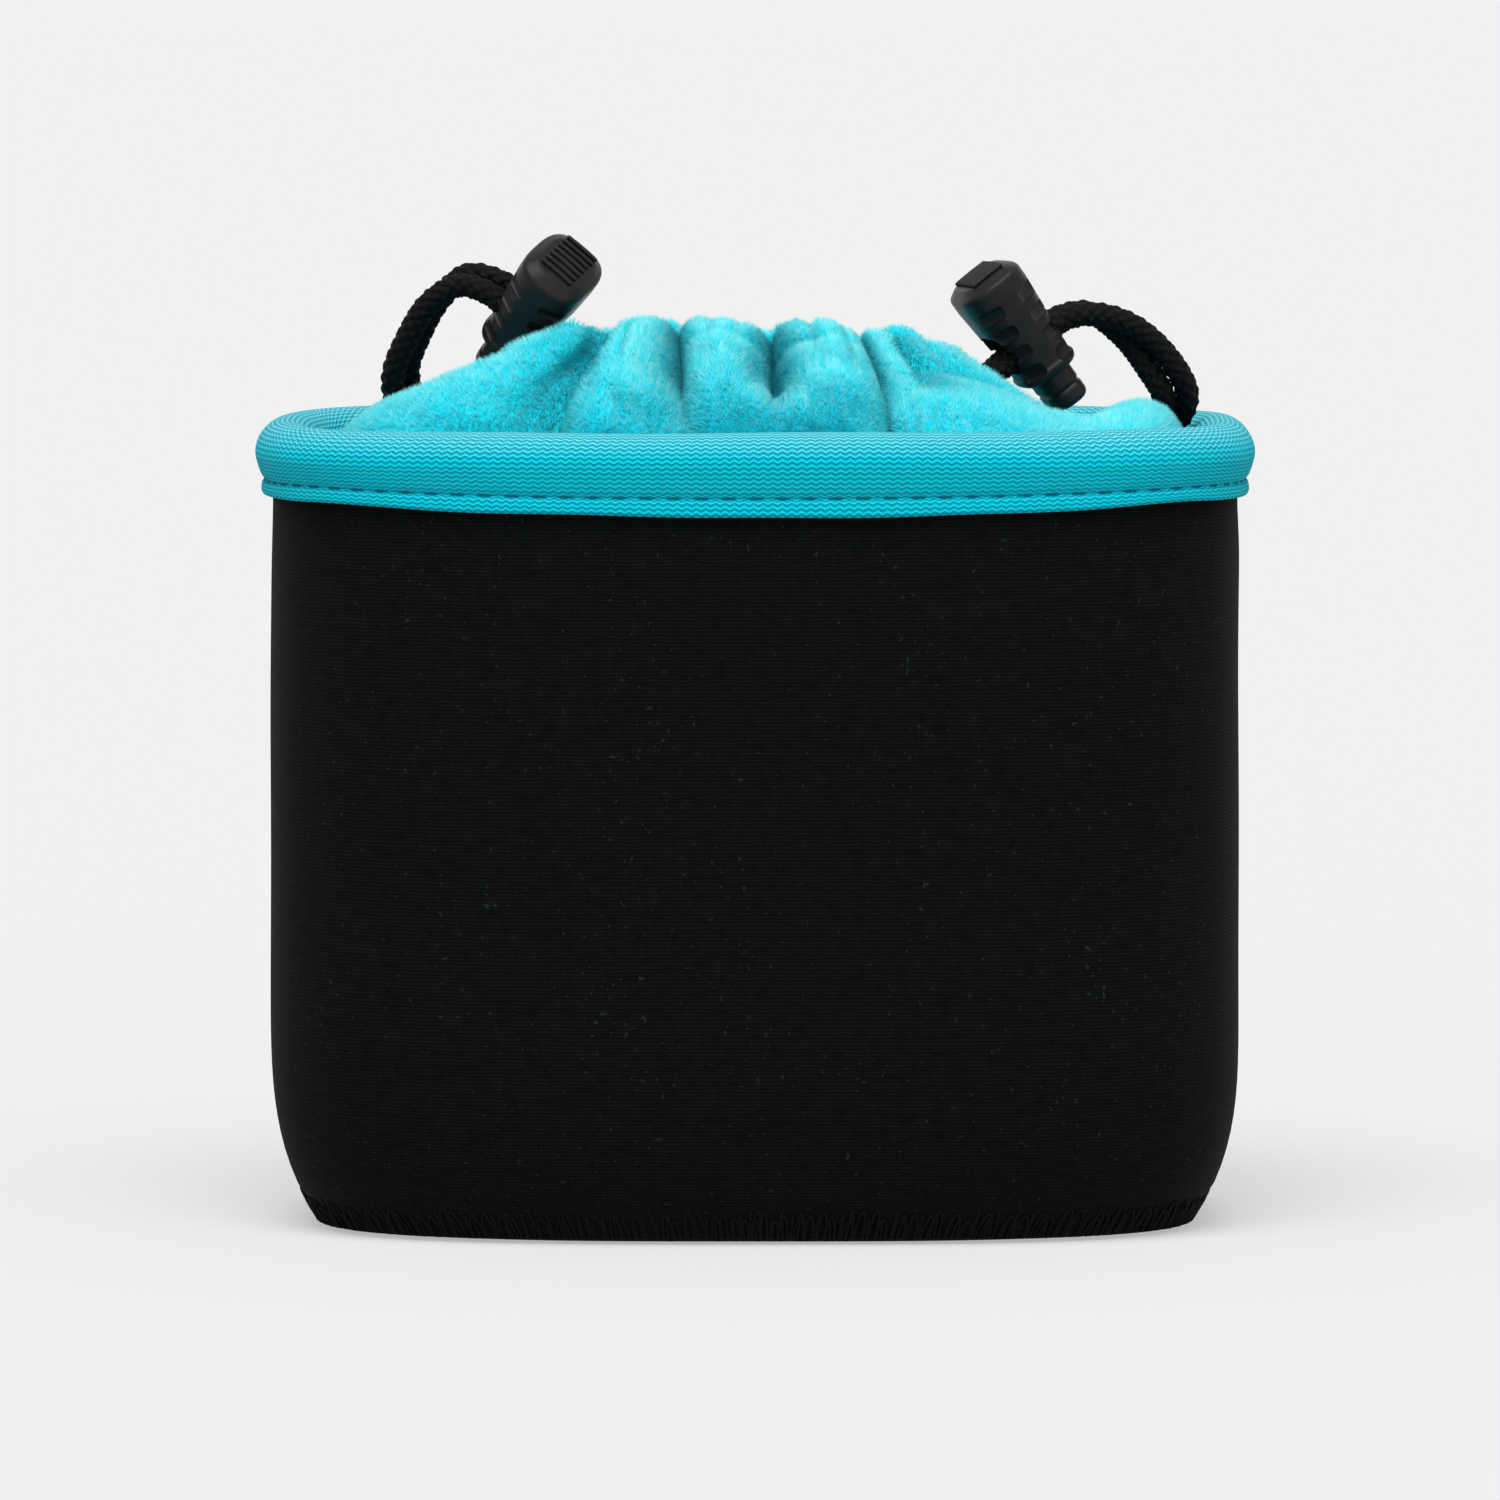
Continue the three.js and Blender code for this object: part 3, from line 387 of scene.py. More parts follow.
yarn_black = (0.0015, 0.0015, 0.0017)
yarn_crown_grey = (0.009, 0.0088, 0.0085)
braid, braid_shader = plain("cord_braid", yarn_black, 0.6, Specular_IOR_Level=0.08)
fibres = speckle(braid, 2600, detail=3)
# The braid's colour is lighter grey where its yarns bulge, scaled by fibre noise, and black between them.
raised = maths(braid, "MULTIPLY", stored(braid, "bulge"), fibres)
finish(braid, braid_shader, colour=between_colours(braid, raised, yarn_black, yarn_crown_grey),
       height=fibres, depth=0.15 * mm)

yarns = 6
yarn_rise = 0.26
yarn_seat = 0.6
pick_length = 2.3 * mm


def braided(line, columns, radius=cord_radius, loop=False):
    """A braid's radius and the height of each point in it: yarns of one hand climb at p, a count of yarns
    round plus picks along, and those of the other at q, round less along. Where both cross, the one that the
    sign of cos p cos q picks lies on top, so the height is the greater of the two weighed ridges."""
    run = run_of(line)
    length = run[-1] + loop * np.linalg.norm(line[-1] - line[0])
    picks = 2 * round(length / pick_length / 2)
    turn = np.arange(columns)[None, :] / columns * yarns
    along = run[:, None] / length * picks
    p, q = turn + along, turn - along
    over = np.cos(math.pi * p) * np.cos(math.pi * q)
    hands = ((p, 1), (q, -1))
    ridges = [np.abs(np.cos(math.pi * k)) ** 0.75 * (0.55 + 0.45 * sign * over) for k, sign in hands]
    height = np.maximum(*ridges)
    return radius * (1 - yarn_rise * yarn_seat + yarn_rise * height), height


def braid_cord(name, line, reference, columns=48):
    """A braided cord along a line, with rounded ends."""
    radius, height = braided(line, columns)
    points = tube(line, reference, radius, columns)
    piece = make(name, quads(points, uv=spread_of(points)))
    ends = [np.repeat(height[k][None], 4, axis=0).ravel() for k in (0, -1)]
    store(piece, "bulge", np.concatenate([ends[0], height.ravel(), ends[1], [0.3, 0.3]]))
    return piece


axes = {name: side_axes(side) for name, side in sides.items()}
facing = {"front": -1, "back": 1}


def exit_point(name, which, inside):
    """A strand's middle, that far back from the bend into the hem."""
    return axes[name]["bend"] + [0, facing[which] * strand_spread, 0] - inside * axes[name]["pull"]


def tail_points(name, which):
    """A strand's route: out of the hem, through the lock, over the arch and down to the knot."""
    side, end, s = sides[name], axes[name], -facing[which]
    half = 0.65 * lock_half_u
    through = [lock_reach - half, lock_reach, lock_reach + half, lock_reach + lock_half_u + 1 * mm]
    through = [end["bend"] + d * end["u"] + s * strand_apart * end["front"] for d in through]
    knot, arch = above_wall(side["knot"]), [above_wall(p) for p in side["tail"]]
    touch = math.sqrt((knot_radius + cord_radius + 0.3 * mm) ** 2 - strand_apart**2)
    middle = [*arch, knot + (arch[-1] - knot) * touch / np.linalg.norm(arch[-1] - knot), knot]
    way = []
    for i, point in enumerate(middle[:-1]):
        along = unit(middle[i + 1] - (middle[i - 1] if i else end["hole"]))
        share = (i + 1) / len(arch)
        aside = (1 - share) * end["front"] + share * np.array(side["front_strand"])
        way.append(point + s * (strand_apart - 0.15 * mm * min(1, share * 3)) * across(aside, along))
    return [*through, *way]


def knotted(name):
    """A side's knot, a cord that winds three times through its own ring as it goes twice round, and the two
    short ends that come out of it, as two pieces."""
    end, knot = axes[name], above_wall(sides[name]["knot"])
    t = full_turn(420)[:, None]
    wide = 2.15 * mm + 1.2 * mm * np.cos(3 * t)
    round_twice = np.cos(2 * t) * end["v"] + np.sin(2 * t) * end["w"]
    line = knot + wide * round_twice + 1.8 * mm * np.sin(3 * t) * end["u"]
    radius, height = braided(line, 36, 1.4 * mm, loop=True)
    points = tube(line, [0.3, 0.5, 0.8], radius, 36, loop=True)
    body = make(f"{name}_knot_turns", quads(points, loop=True, uv=spread_of(points, loop=True)))
    store(body, "bulge", height)
    tips = []
    for way in (-1, 1):
        start = knot + way * 2 * mm * end["v"] + [0, 0.6 * mm, -1 * mm]
        stop = start - np.array([3.6 * sides[name]["way"], -0.8, 1.6]) * mm
        tip = smooth_line([start, (start + stop) / 2 + way * 0.6 * mm * end["v"], stop], 0.3 * mm)
        points = tube(tip, [0, 0, 1], 1.35 * mm, 20)
        tips.append(quads(points, uv=spread_of(points)))
    tips = make(f"{name}_knot_ends", *tips)
    store(tips, "bulge", np.full(len(tips.data.vertices), 0.4))
    return body, tips


for name in sides:
    end = axes[name]
    turns, tips = knotted(name)
    belongs(turns, f"{name}_lock", "cord_braid", braid, f"{name}_knot")
    belongs(tips, f"{name}_lock", "cord_braid", braid)
    for which in ("front", "back"):
        inner = [exit_point(name, which, depth) for depth in (hem_depth, 10 * mm, 5 * mm, 1.5 * mm)]
        route = smooth_line([*inner, *tail_points(name, which)], 0.2 * mm)
        cord = braid_cord(f"{name}_drawstring_{which}", route, end["front"])
        belongs(cord, None, "cord_braid", braid, f"{name}_cord_{which}", f"{name}_tail_{which}")
        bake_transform(cord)

# Cord locks: dark grey plastic in two mouldings. The barrel has a hole for the two strands, hollows down its
# four corners for the fingers and a ribbed cap. The button slides in its open end against a steel spring.

lock_top, lock_bottom = 13.5 * mm, -7.5 * mm
lock_taper = 0.8
lock_shoulder = 4 * mm
hole_half_height, hole_half_width = 3.8 * mm, 4.6 * mm
button_travel = 3 * mm
bore_half_u = lock_half_u * lock_taper - 1.2 * mm
bore_half_v = hole_half_width + 1.3 * mm
lock_half_v = (bore_half_v + 0.5 * mm) / lock_taper
grip_rows = lock_bottom + np.array([2.6, 6.8, 11, 15.2]) * mm
rib_radius, rib_half, rib_count = 0.39 * mm, 3 * mm, 7
button_out, button_round, button_top = 6.5 * mm, 1.3 * mm, 3 * mm
button_slack = 0.3 * mm
spring_low, spring_high = 3.7 * mm, lock_top - 2.9 * mm
spring_radius, wire_radius, spring_turns = 2.2 * mm, 0.38 * mm, 5


def squared(angle, half_u, half_v, height, squareness=3):
    """Rings of a superellipse: each half size times the cosine or sine to the power 2 / squareness."""
    c, s = np.cos(angle), np.sin(angle)
    x = half_u * np.sign(c) * np.abs(c) ** (2 / squareness)
    y = half_v * np.sign(s) * np.abs(s) ** (2 / squareness)
    return np.stack(np.broadcast_arrays(x, y, height), -1)


def in_lock(name, points):
    """Points given along a lock's three axes, in the case's frame."""
    end = axes[name]
    return end["hole"] + points @ np.stack([end["u"], end["v"], end["w"]])


def lock_size(height):
    """The barrel's size at a height as a share of its closed end's."""
    rise = (height - lock_bottom) / (lock_top - lock_shoulder - lock_bottom)
    return lock_taper + (1 - lock_taper) * np.clip(rise, 0, 1)


def barrel_points():
    """The barrel's outside in rings from its open end: a lip, sides that widen up to the shoulder, a chamfer
    and a crowned cap. Each point is how far it is set in from the side, and its height."""
    lip = [(0.5, -7.5), (0.1, -7.35), (-0.35, -6.9), (-0.5, -6.3), (-0.45, -5.9), (-0.1, -5.5)]
    straight = [(0, -5.2), (0, 0), (0, 6), (0, 11.5)]
    chamfer = [(0.1, 12), (0.35, 12.35), (1.5, 13.3), (1.9, 13.5)]
    cap = [(3.4, 13.72), (5, 13.86), (6, 13.9)]
    profile = evenly(np.array([*lip, *straight, *chamfer, *cap]) * mm, 0.2 * mm)
    shrink, height = profile[:, :1], profile[:, 1:]
    size = lock_size(height) * (1 - shrink / lock_half_u)
    return squared(full_turn(180)[None], lock_half_u * size, lock_half_v * size, height)


def hollows(name):
    """The finger grips: at each level of each corner a block whose sides are rounded by a fourth power,
    turned to face the corner, so that a spine is left down each narrow face."""
    rise = np.sin(np.linspace(-1.5, 1.5, 15))[:, None]
    width = (1 - rise**4) ** 0.25
    facing_corner = np.array([[-0.8, 0.6, 0], [0.6, 0.8, 0], [0, 0, 1]])
    blocks = []
    for level in grip_rows:
        size = lock_size(level)
        half_u, half_v = (half * mm * size * width for half in (3.1, 2.2))
        block = squared(full_turn(40)[None], half_u, half_v, 1.4 * mm * rise, 4) @ facing_corner
        for a, b in ((1, 1), (1, -1), (-1, 1), (-1, -1)):
            placed = block + np.array([5 * mm * size, 7.75 * mm * size, level])
            blocks.append(quads(in_lock(name, placed * [a, b, 1])))
    return make("hollows", *blocks)


def hole_shape(name, centre, flare):
    """The cord hole as a solid: a rounded oblong that opens at its two mouths by flare times the square of
    the way out."""
    reach = np.linspace(-7.4, 7.4, 25)[:, None] * mm
    grow = flare * np.clip((np.abs(reach) - 3 * mm) / (4 * mm), 0, 2) ** 2
    ring = squared(full_turn(64)[None], hole_half_width + grow, hole_half_height + grow, 0, 4)
    points = np.stack(np.broadcast_arrays(reach, ring[..., 0], centre + ring[..., 1]), -1)
    return make("hole", quads(in_lock(name, points)))


def carved(piece, *cutters):
    """The piece with the cutters taken out of it, and its edges kept sharp."""
    for cutter in cutters:
        cut = piece.modifiers.new("cut", "BOOLEAN")
        cut.object, cut.operation, cut.solver = cutter, "DIFFERENCE", "MANIFOLD"
    bpy.context.view_layer.update()
    shape = piece.evaluated_get(bpy.context.evaluated_depsgraph_get())
    piece.data = bpy.data.meshes.new_from_object(shape)
    piece.modifiers.clear()
    piece.data.materials.clear()
    piece.data.set_sharp_from_angle(angle=math.radians(40))
    for cutter in cutters:
        bpy.data.objects.remove(cutter)
    return piece


def ribs(name):
    """The cap's seven ribs: round-ended bars along u, their ends rounded down."""
    bars = []
    for v in (np.arange(rib_count) - 3.4) * 1.5 * mm:
        line = np.linspace([-rib_half, v, lock_top + 0.14 * mm], [rib_half, v, lock_top + 0.14 * mm], 14)
        line[:, 2] += 0.34 * mm * (1 - (v / lock_half_v) ** 2) * (1 - (line[:, 0] / lock_half_u) ** 2)
        bars.append(quads(in_lock(name, tube(line, [0, 0, 1], rib_radius, 14))))
    return make(f"{name}_lock_ribs", *bars)


def button_points():
    """The button in rings from its free end: a rounded edge, straight sides with a groove, and a flat top."""
    bottom = lock_bottom - button_out
    turn = np.linspace(0, math.pi / 2, 8)
    straight = np.linspace(bottom + 1.5 * mm, button_top, 70)
    z = np.concatenate([bottom + button_round * (1 - np.cos(turn)), straight])
    shrink = np.concatenate([button_round * (1 - np.sin(turn)), 0 * straight])
    shrink += 0.4 * mm * np.exp(-(((z - lock_bottom + 3.25 * mm) / (0.3 * mm)) ** 2))
    half_u, half_v = (half - button_slack - shrink[:, None] for half in (bore_half_u, bore_half_v))
    return squared(full_turn(120)[None], half_u, half_v, z[:, None])


def coil_points():
    """The spring's wire: a helix about the lock's w axis."""
    turn = np.linspace(0, 2 * spring_turns * math.pi, 400)
    height = np.linspace(spring_low, spring_high, 400)
    return np.stack([spring_radius * np.cos(turn), spring_radius * np.sin(turn), height], -1)


plastic_grey = (0.005, 0.0048, 0.0045)
plastic_worn = (0.018, 0.0173, 0.0163)
plastic, plastic_shader = plain("lock_plastic", plastic_grey, 0.4, Specular_IOR_Level=0.15)
rubbed = add(plastic, "ValToRGB", {"Fac": speckle(plastic, 420, detail=5)})
grain = speckle(plastic, 5200, detail=1)
finish(plastic, plastic_shader, colour=between_colours(plastic, rubbed, plastic_grey, plastic_worn),
       roughness=maths(plastic, "MULTIPLY_ADD", speckle(plastic, 900, detail=3), 0.2, 0.25),
       height=grain, depth=0.02 * mm)

steel, steel_shader = plain("spring_steel", (0.42, 0.42, 0.43), 0.3, Metallic=1.0)
drawn = speckle(steel, 3000, stretch=(1, 1, 0.1))
finish(steel, steel_shader, height=drawn, depth=0.02 * mm,
       roughness=maths(steel, "MULTIPLY_ADD", drawn, 0.3, 0.16))

for name in sides:
    bore_ends = np.array([[lock_bottom - 1 * mm], [lock_top - 2.2 * mm]])
    bore = squared(full_turn(96)[None], bore_half_u, bore_half_v, bore_ends)
    barrel = carved(make(f"{name}_barrel", quads(in_lock(name, barrel_points()))),
                    make("bore", quads(in_lock(name, bore))), hole_shape(name, 0, 0.8 * mm), hollows(name))
    belongs(barrel, f"{name}_lock", "lock_plastic", plastic, f"{name}_lock_barrel")
    belongs(ribs(name), f"{name}_lock", "lock_plastic", plastic)
    button = carved(make(f"{name}_button", quads(in_lock(name, button_points()))),
                    hole_shape(name, -button_travel, 0.5 * mm))
    belongs(button, f"{name}_button", "lock_plastic", plastic, f"{name}_lock_button")
    coil = tube(in_lock(name, coil_points()), axes[name]["w"], wire_radius, 10)
    coil = make(f"{name}_spring", quads(coil))
    belongs(coil, None, "spring_steel", steel, f"{name}_lock_spring")
    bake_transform(coil)

# Pouch wall: a sleeve of 4 mm neoprene faced with fine black knit, and the base panel of the same. The wall
# stands straight, draws in and rounds off at the ground, and is squeezed a little under the rim's tape.

half_width, half_depth = 84.1 * mm, 50 * mm
wall_foot, wall_thick = 1.5 * mm, 4 * mm
foot_inset, foot_height, foot_power = 8.2 * mm, 40 * mm, 3.4
foot_squareness, top_squareness = 3.1, 3.5
clear = 0.3 * mm
inside_wall = -wall_thick - clear


def round_angles(count):
    """Angles that step evenly along the wall's outline, from the middle of the back round to it again, and
    the distance run at each."""
    fine = np.linspace(math.pi / 2, 2.5 * math.pi, 20001)
    run = run_of(squared(fine, half_width, half_depth, 0, top_squareness))
    at = np.linspace(0, run[-1], count + 1)
    return np.interp(at, run, fine)[:-1], at


def round_case(offset, height, angle):
    """Points round the case, offset outwards from the wall's outside: a superellipse whose half sizes shrink
    by foot_inset times (1 - height / foot_height) to the foot_power, and whose exponent falls to the
    foot's."""
    shape = np.maximum(height, wall_foot)
    low = np.clip(1 - shape / foot_height, 0, 1)
    inset = foot_inset * low**foot_power - offset
    squareness = top_squareness + (foot_squareness - top_squareness) * low
    return squared(angle, half_width - inset, half_depth - inset, height, squareness)


def stepped(corners, step):
    """A closed line through the corners, with points between them no more than a step apart."""
    corners = np.array(corners, float)
    line = []
    for a, b in zip(corners, np.roll(corners, -1, 0)):
        count = int(np.linalg.norm(b - a) // step) + 1
        line.append(np.linspace(a, b, count, endpoint=False))
    return np.concatenate(line)


def carried(section, angle):
    """The offsets and the heights of a section's points, repeated at each angle round the case."""
    return (np.repeat(section[:, k:k + 1], len(angle), axis=1) for k in (0, 1))


def shell(corners, step, angle, ease=None):
    """A ring round the case from the corners of its section, (offset, height), eased by a function of them
    and of the distance round."""
    offset, height = carried(stepped(corners, step), angle)
    if ease:
        offset, height = ease(offset, height)
    return round_case(offset, height, angle[None])


wall_angles, wall_run = round_angles(420)
girth = wall_run[-1]
tape_pinch = 0.45


def squeezed(height):
    """How hard the rim's tape presses on the wall at a height: the square of the way to its firmest."""
    return np.clip((height - 112 * mm) / (12 * mm), 0, 1) ** 2


def wall_ease(offset, height):
    """Slow swells of a quarter of a millimetre, and the pinches under the tape and the thread."""
    u = wall_run[None, :-1]
    swell = np.sin(2 * math.pi * (3 * u / girth + height / (90 * mm))) * np.sin(height / (31 * mm) + 1)
    swell += 0.6 * np.sin(2 * math.pi * 7 * u / girth + height / (23 * mm))
    pinch = squeezed(height)
    sewn = np.clip((6.6 * mm - height) / (1 * mm), 0, 1) * (offset > -1 * mm)
    return offset + (0.16 * swell * (1 - pinch) - 0.16 - tape_pinch * pinch - 0.4 * sewn) * mm, height


def knit(material, u, v, width, depth):
    """Courses and wales of a fine jersey: a sine along v weighed by one along u, from 0 to 1."""
    wobble = maths(material, "MULTIPLY", speckle(material, 160, detail=2), 2.5)
    course = maths(material, "SINE", maths(material, "MULTIPLY_ADD", v, 2 * math.pi / depth, wobble))
    wale = maths(material, "SINE", maths(material, "MULTIPLY", u, 2 * math.pi / width))
    both = maths(material, "MULTIPLY_ADD", wale, 0.55, course)
    return maths(material, "MULTIPLY_ADD", both, 0.36, 0.5)


def on_surface(material):
    """The two distances of a piece's UV map, in metres."""
    place = add(material, "SeparateXYZ", {"Vector": add(material, "TexCoord", {}, output=2)})
    return place, place.node.outputs[1]


knit_black = (0.0018, 0.0022, 0.0022)
knit_grey = (0.0095, 0.0108, 0.0108)
lint_grey = (0.026, 0.03, 0.03)
neoprene, neoprene_shader = plain("neoprene", knit_black, 0.85, Specular_IOR_Level=0.03, Sheen_Weight=0.02)
across_wall, up_wall = on_surface(neoprene)
jersey = knit(neoprene, across_wall, up_wall, 0.46 * mm, 0.62 * mm)
broken = maths(neoprene, "MULTIPLY_ADD", speckle(neoprene, 700, detail=4, stretch=(0.6, 0.6, 1)), 1.6, -0.2)
patches = maths(neoprene, "MULTIPLY", jersey, add(neoprene, "Clamp", {"Value": broken}))
jersey_colour = between_colours(neoprene, patches, knit_black, knit_grey)
lint = maths(neoprene, "GREATER_THAN", speckle(neoprene, 1300, detail=0), 0.79)
lint = maths(neoprene, "MULTIPLY", lint, speckle(neoprene, 120, detail=1))
finish(neoprene, neoprene_shader, colour=between_colours(neoprene, lint, jersey_colour, lint_grey),
       height=jersey, depth=0.07 * mm)

wall_corners = np.array([(0, 1.4), (-0.4, 0.8), (-3.6, 0.8), (-4, 1.2),
                         (-4, 127.8), (-3.6, 128.2), (-0.4, 128.2), (0, 127.8)]) * mm
wall_points = shell(wall_corners, 3 * mm, wall_angles, wall_ease)
wall = make("neoprene_wall", quads(wall_points, loop=True, uv=spread_of(wall_points, loop=True)))
belongs(wall, "root", "neoprene", neoprene, "wall")


def seen_from_above(points):
    """A UV map in metres for a flat piece: where its points stand in plan."""
    return np.concatenate([points, points[:, :1]], 1)[..., :2]


# The base's section, from below round the edge: how far in from the edge each point is, and its height.
base_out, base_reach = inside_wall / mm, 70
base_under = [(base_reach, 0), (45, 0), (20, 0), (8, 0), (2, 0), (0.8, 0.05), (0.2, 0.35), (0, 0.8)]
base_over = [(0, 3.6), (0.4, 4), (8, 4), (30, 4), (base_reach, 4)]
base_inset, base_height = np.array([*base_under, *base_over]).T[..., None]
base_offset = (base_out - base_inset) * mm
across_base = np.clip((base_offset - base_out * mm) / (-base_reach * mm), 0, 1)
on_edge = across_base < 0.1
base_points = round_case(base_offset * on_edge + 0 * wall_angles[None], base_height * mm, wall_angles[None])
base_points[..., :2] *= np.where(on_edge, 1, 1 - across_base * 0.995)[..., None]
base = make("neoprene_base", quads(base_points, uv=seen_from_above(base_points)))
belongs(base, "root", "neoprene", neoprene, "base_panel")

# Overlock band: two black threads that wrap the wall's lower edge onto the base, out and back at each stitch,
# and the flat seam of the same thread that closes the wall down the middle of the back.

thread_radius = 0.28 * mm
overlock_stitches, back_stitches = 186, 52
back_start, back_swing = 7.9 * mm, 2.55 * mm
band_line = evenly(np.array([(-0.5, 6.4), (-0.34, 5.6), (-0.3, 3.4), (-0.3, 1.7), (-0.5, 1.0), (-0.9, 0.75),
                             (-1.8, 0.72), (-3, 0.72)]) * mm, 0.1 * mm)
band_run = run_of(band_line) / run_of(band_line)[-1]


def angle_at(run):
    """The angle at a distance round the wall from the middle of its back."""
    return np.interp(run, wall_run, np.append(wall_angles, wall_angles[0] + 2 * math.pi))


def overlock(phase, lean):
    """One thread round the case: its place down the band goes out and back like a cosine flattened at both
    ends, it leans by a share of a stitch, and it wanders from its place."""
    t = np.linspace(0, overlock_stitches, overlock_stitches * 14, endpoint=False)
    swing = np.cos(2 * math.pi * (t + phase))
    down = 0.5 - 0.5 * np.sign(swing) * np.abs(swing) ** 0.7
    down = 0.16 * (1 + np.sin(1.7 * t + 4 * phase) * np.cos(0.37 * t)) * (1 - down) ** 2 + down
    wander = 0.3 * np.sin(0.83 * t + 5 * phase) * np.sin(2.31 * t)
    at = (t + wander + lean * np.sin(2 * math.pi * (t + phase))) / overlock_stitches % 1 * girth
    offset, height = (np.interp(down, band_run, band_line[:, k]) for k in (0, 1))
    rise = 0.06 * mm * np.sin(17 * t)
    line = round_case(offset + rise, height, angle_at(at))
    return quads(tube(line, [0.1, 0.2, 0.97], thread_radius, 6, loop=True), loop=True)


def flatlock(phase):
    """One thread up the back seam, swinging from side to side across it."""
    t = np.linspace(0, back_stitches, back_stitches * 12)
    height = back_start + t / back_stitches * 116.6 * mm
    x = back_swing * np.sin(2 * math.pi * (t + phase))
    low = np.clip(1 - height / foot_height, 0, 1)
    pinch = tape_pinch * mm * squeezed(height)
    y = half_depth - foot_inset * low**foot_power - pinch + 0.1 * mm * np.cos(4 * math.pi * (t + phase))
    return quads(tube(np.stack([x, y, height], -1), [0, 1, 0.05], thread_radius, 6))


thread_low, thread_high = (0.001, 0.0012, 0.0012), (0.006, 0.0062, 0.0062)
thread_black, thread_black_shader = plain("black_thread", (0.002, 0.0021, 0.0021), 0.7,
                                         Specular_IOR_Level=0.06)
twist = speckle(thread_black, 3200, detail=2)
finish(thread_black, thread_black_shader, height=twist, depth=0.1 * mm,
       colour=between_colours(thread_black, twist, thread_low, thread_high))
band = make("overlock_band", overlock(0, 0.12), overlock(0.5, -0.12))
belongs(band, "root", "black_thread", thread_black, "base_seam")
back_seam = make("back_flatlock", flatlock(0), flatlock(0.33), flatlock(0.66))
belongs(back_seam, "root", "black_thread", thread_black, "back_seam")

# Linings: cyan fleece glued to the neoprene, one sleeve inside the wall and one piece over the base.

lining_thick = 2.6 * mm
inside_lining = inside_wall - lining_thick - clear
# The deepest colour is painted shade for the fleece's creases.
crease_shade_colour = (0.001, 0.17, 0.25)
fleece_low = (0.001, 0.66, 0.82)
fleece_mid = (0.004, 0.90, 1.0)
# The lightest colour, a whitish cyan, is a painted highlight for the strands' tips.
fleece_tip_highlight = (0.48, 1.0, 1.0)
nap, nap_shader = plain("fleece_backing", fleece_mid, 0.95, Specular_IOR_Level=0.1, Sheen_Weight=0.2)
curls = speckle(nap, 1100, detail=4)
finish(nap, nap_shader, colour=between_colours(nap, curls, fleece_low, fleece_mid),
       height=curls, depth=0.6 * mm)

lining_angles = round_angles(240)[0]
inner, outer = (inside_wall - lining_thick) / mm, inside_wall / mm
lining_corners = np.array([(outer, 4.3), (outer, 127.9), (outer - 0.3, 128.2), (inner + 0.3, 128.2),
                           (inner, 127.9), (inner, 4.6), (inner + 0.3, 4.3)]) * mm
lining_points = shell(lining_corners, 3 * mm, lining_angles)
lining = make("fleece_wall_lining", quads(lining_points, loop=True, uv=spread_of(lining_points, loop=True)))
belongs(lining, "root", "fleece", nap, "wall_lining")

pad_offset = (inside_lining / mm) + np.array([-0.5, -0.1, 0, -0.1, -0.5])[:, None]
pad_height = np.array([4.3, 4.4, 5.6, 6.8, 6.9])[:, None]
pad_points = round_case(pad_offset * mm, pad_height * mm, lining_angles[None])
middles = [pad_points[k] * np.array([s, s, 1]) for k, s in ((0, 0.002), (0, 0.5), (-1, 0.5), (-1, 0.002))]
pad_points = np.concatenate([middles[:2], pad_points, middles[2:]])
pad = make("fleece_base_lining", quads(pad_points, uv=seen_from_above(pad_points)))
belongs(pad, "root", "fleece", nap, "base_lining")

# Rim: a strip of cyan chevron knit over a foam core, sewn through the wall's top edge. Under the roll its
# edge lies flat on the wall, and the stitches in the groove pull it in.

roll_offset, roll_rise = -2.9, 6.0
stitches, stitch_half = 102, 1.3
groove_height = 1.05 * mm
inside_tape = inside_lining / mm
roll = np.radians(np.arange(-32, 215, 15))
roll = np.stack([roll_offset + 5.3 * np.cos(roll), roll_rise + 5.2 * np.sin(roll)], -1)
flange = [(0.35, -1.6), (0.6, -2), (1.05, -2.05), (1.3, -1.7), (1.36, -0.9), (1.32, 0), (1.18, 0.6),
          (0.6, 0.95), (0.95, 1.35), (1.38, 2)]
tape = [(-0.5, 1.3), (-0.5, 0.8), (-0.95, 0), (-1, -4.4), (-0.75, -5.05), (-0.3, -5.1)]
rim_outside = np.array([*flange, *roll[1:], *np.add(tape, [inside_tape, 0])])
hollow = np.radians(np.arange(225, -46, -15))
hollow = np.stack([roll_offset + 4.2 * np.cos(hollow), roll_rise + 4.1 * np.sin(hollow)], -1)
rim_inside = np.array([(inside_tape, -4.8), (inside_tape, 0.3), *hollow, (0.3, 0.3)])
rim_section = np.concatenate([smooth_line(rim_outside, 0.5), stepped(rim_inside, 2.4)[:-2]]) * mm
rim_angles, rim_run = round_angles(510)
rim_offset, rim_height = carried(rim_section, rim_angles)
beside = rim_run[None, :-1] / girth
near_edge = np.exp(-((rim_height + 2 * mm) / (1.4 * mm)) ** 2) * (rim_offset > 0)
waves = np.sin(2 * math.pi * 5 * beside + 1) + 0.5 * np.sin(2 * math.pi * 14 * beside + 1)


def sag(angle):
    """How far the groove hangs at the front: highest at the corners, by a parabola across the width."""
    across_front = np.clip(1 - (np.abs(np.cos(angle)) ** (2 / top_squareness) / 0.88) ** 2, 0, 1)
    return (1.3 * across_front * (np.sin(angle) < 0) - 0.35) * mm


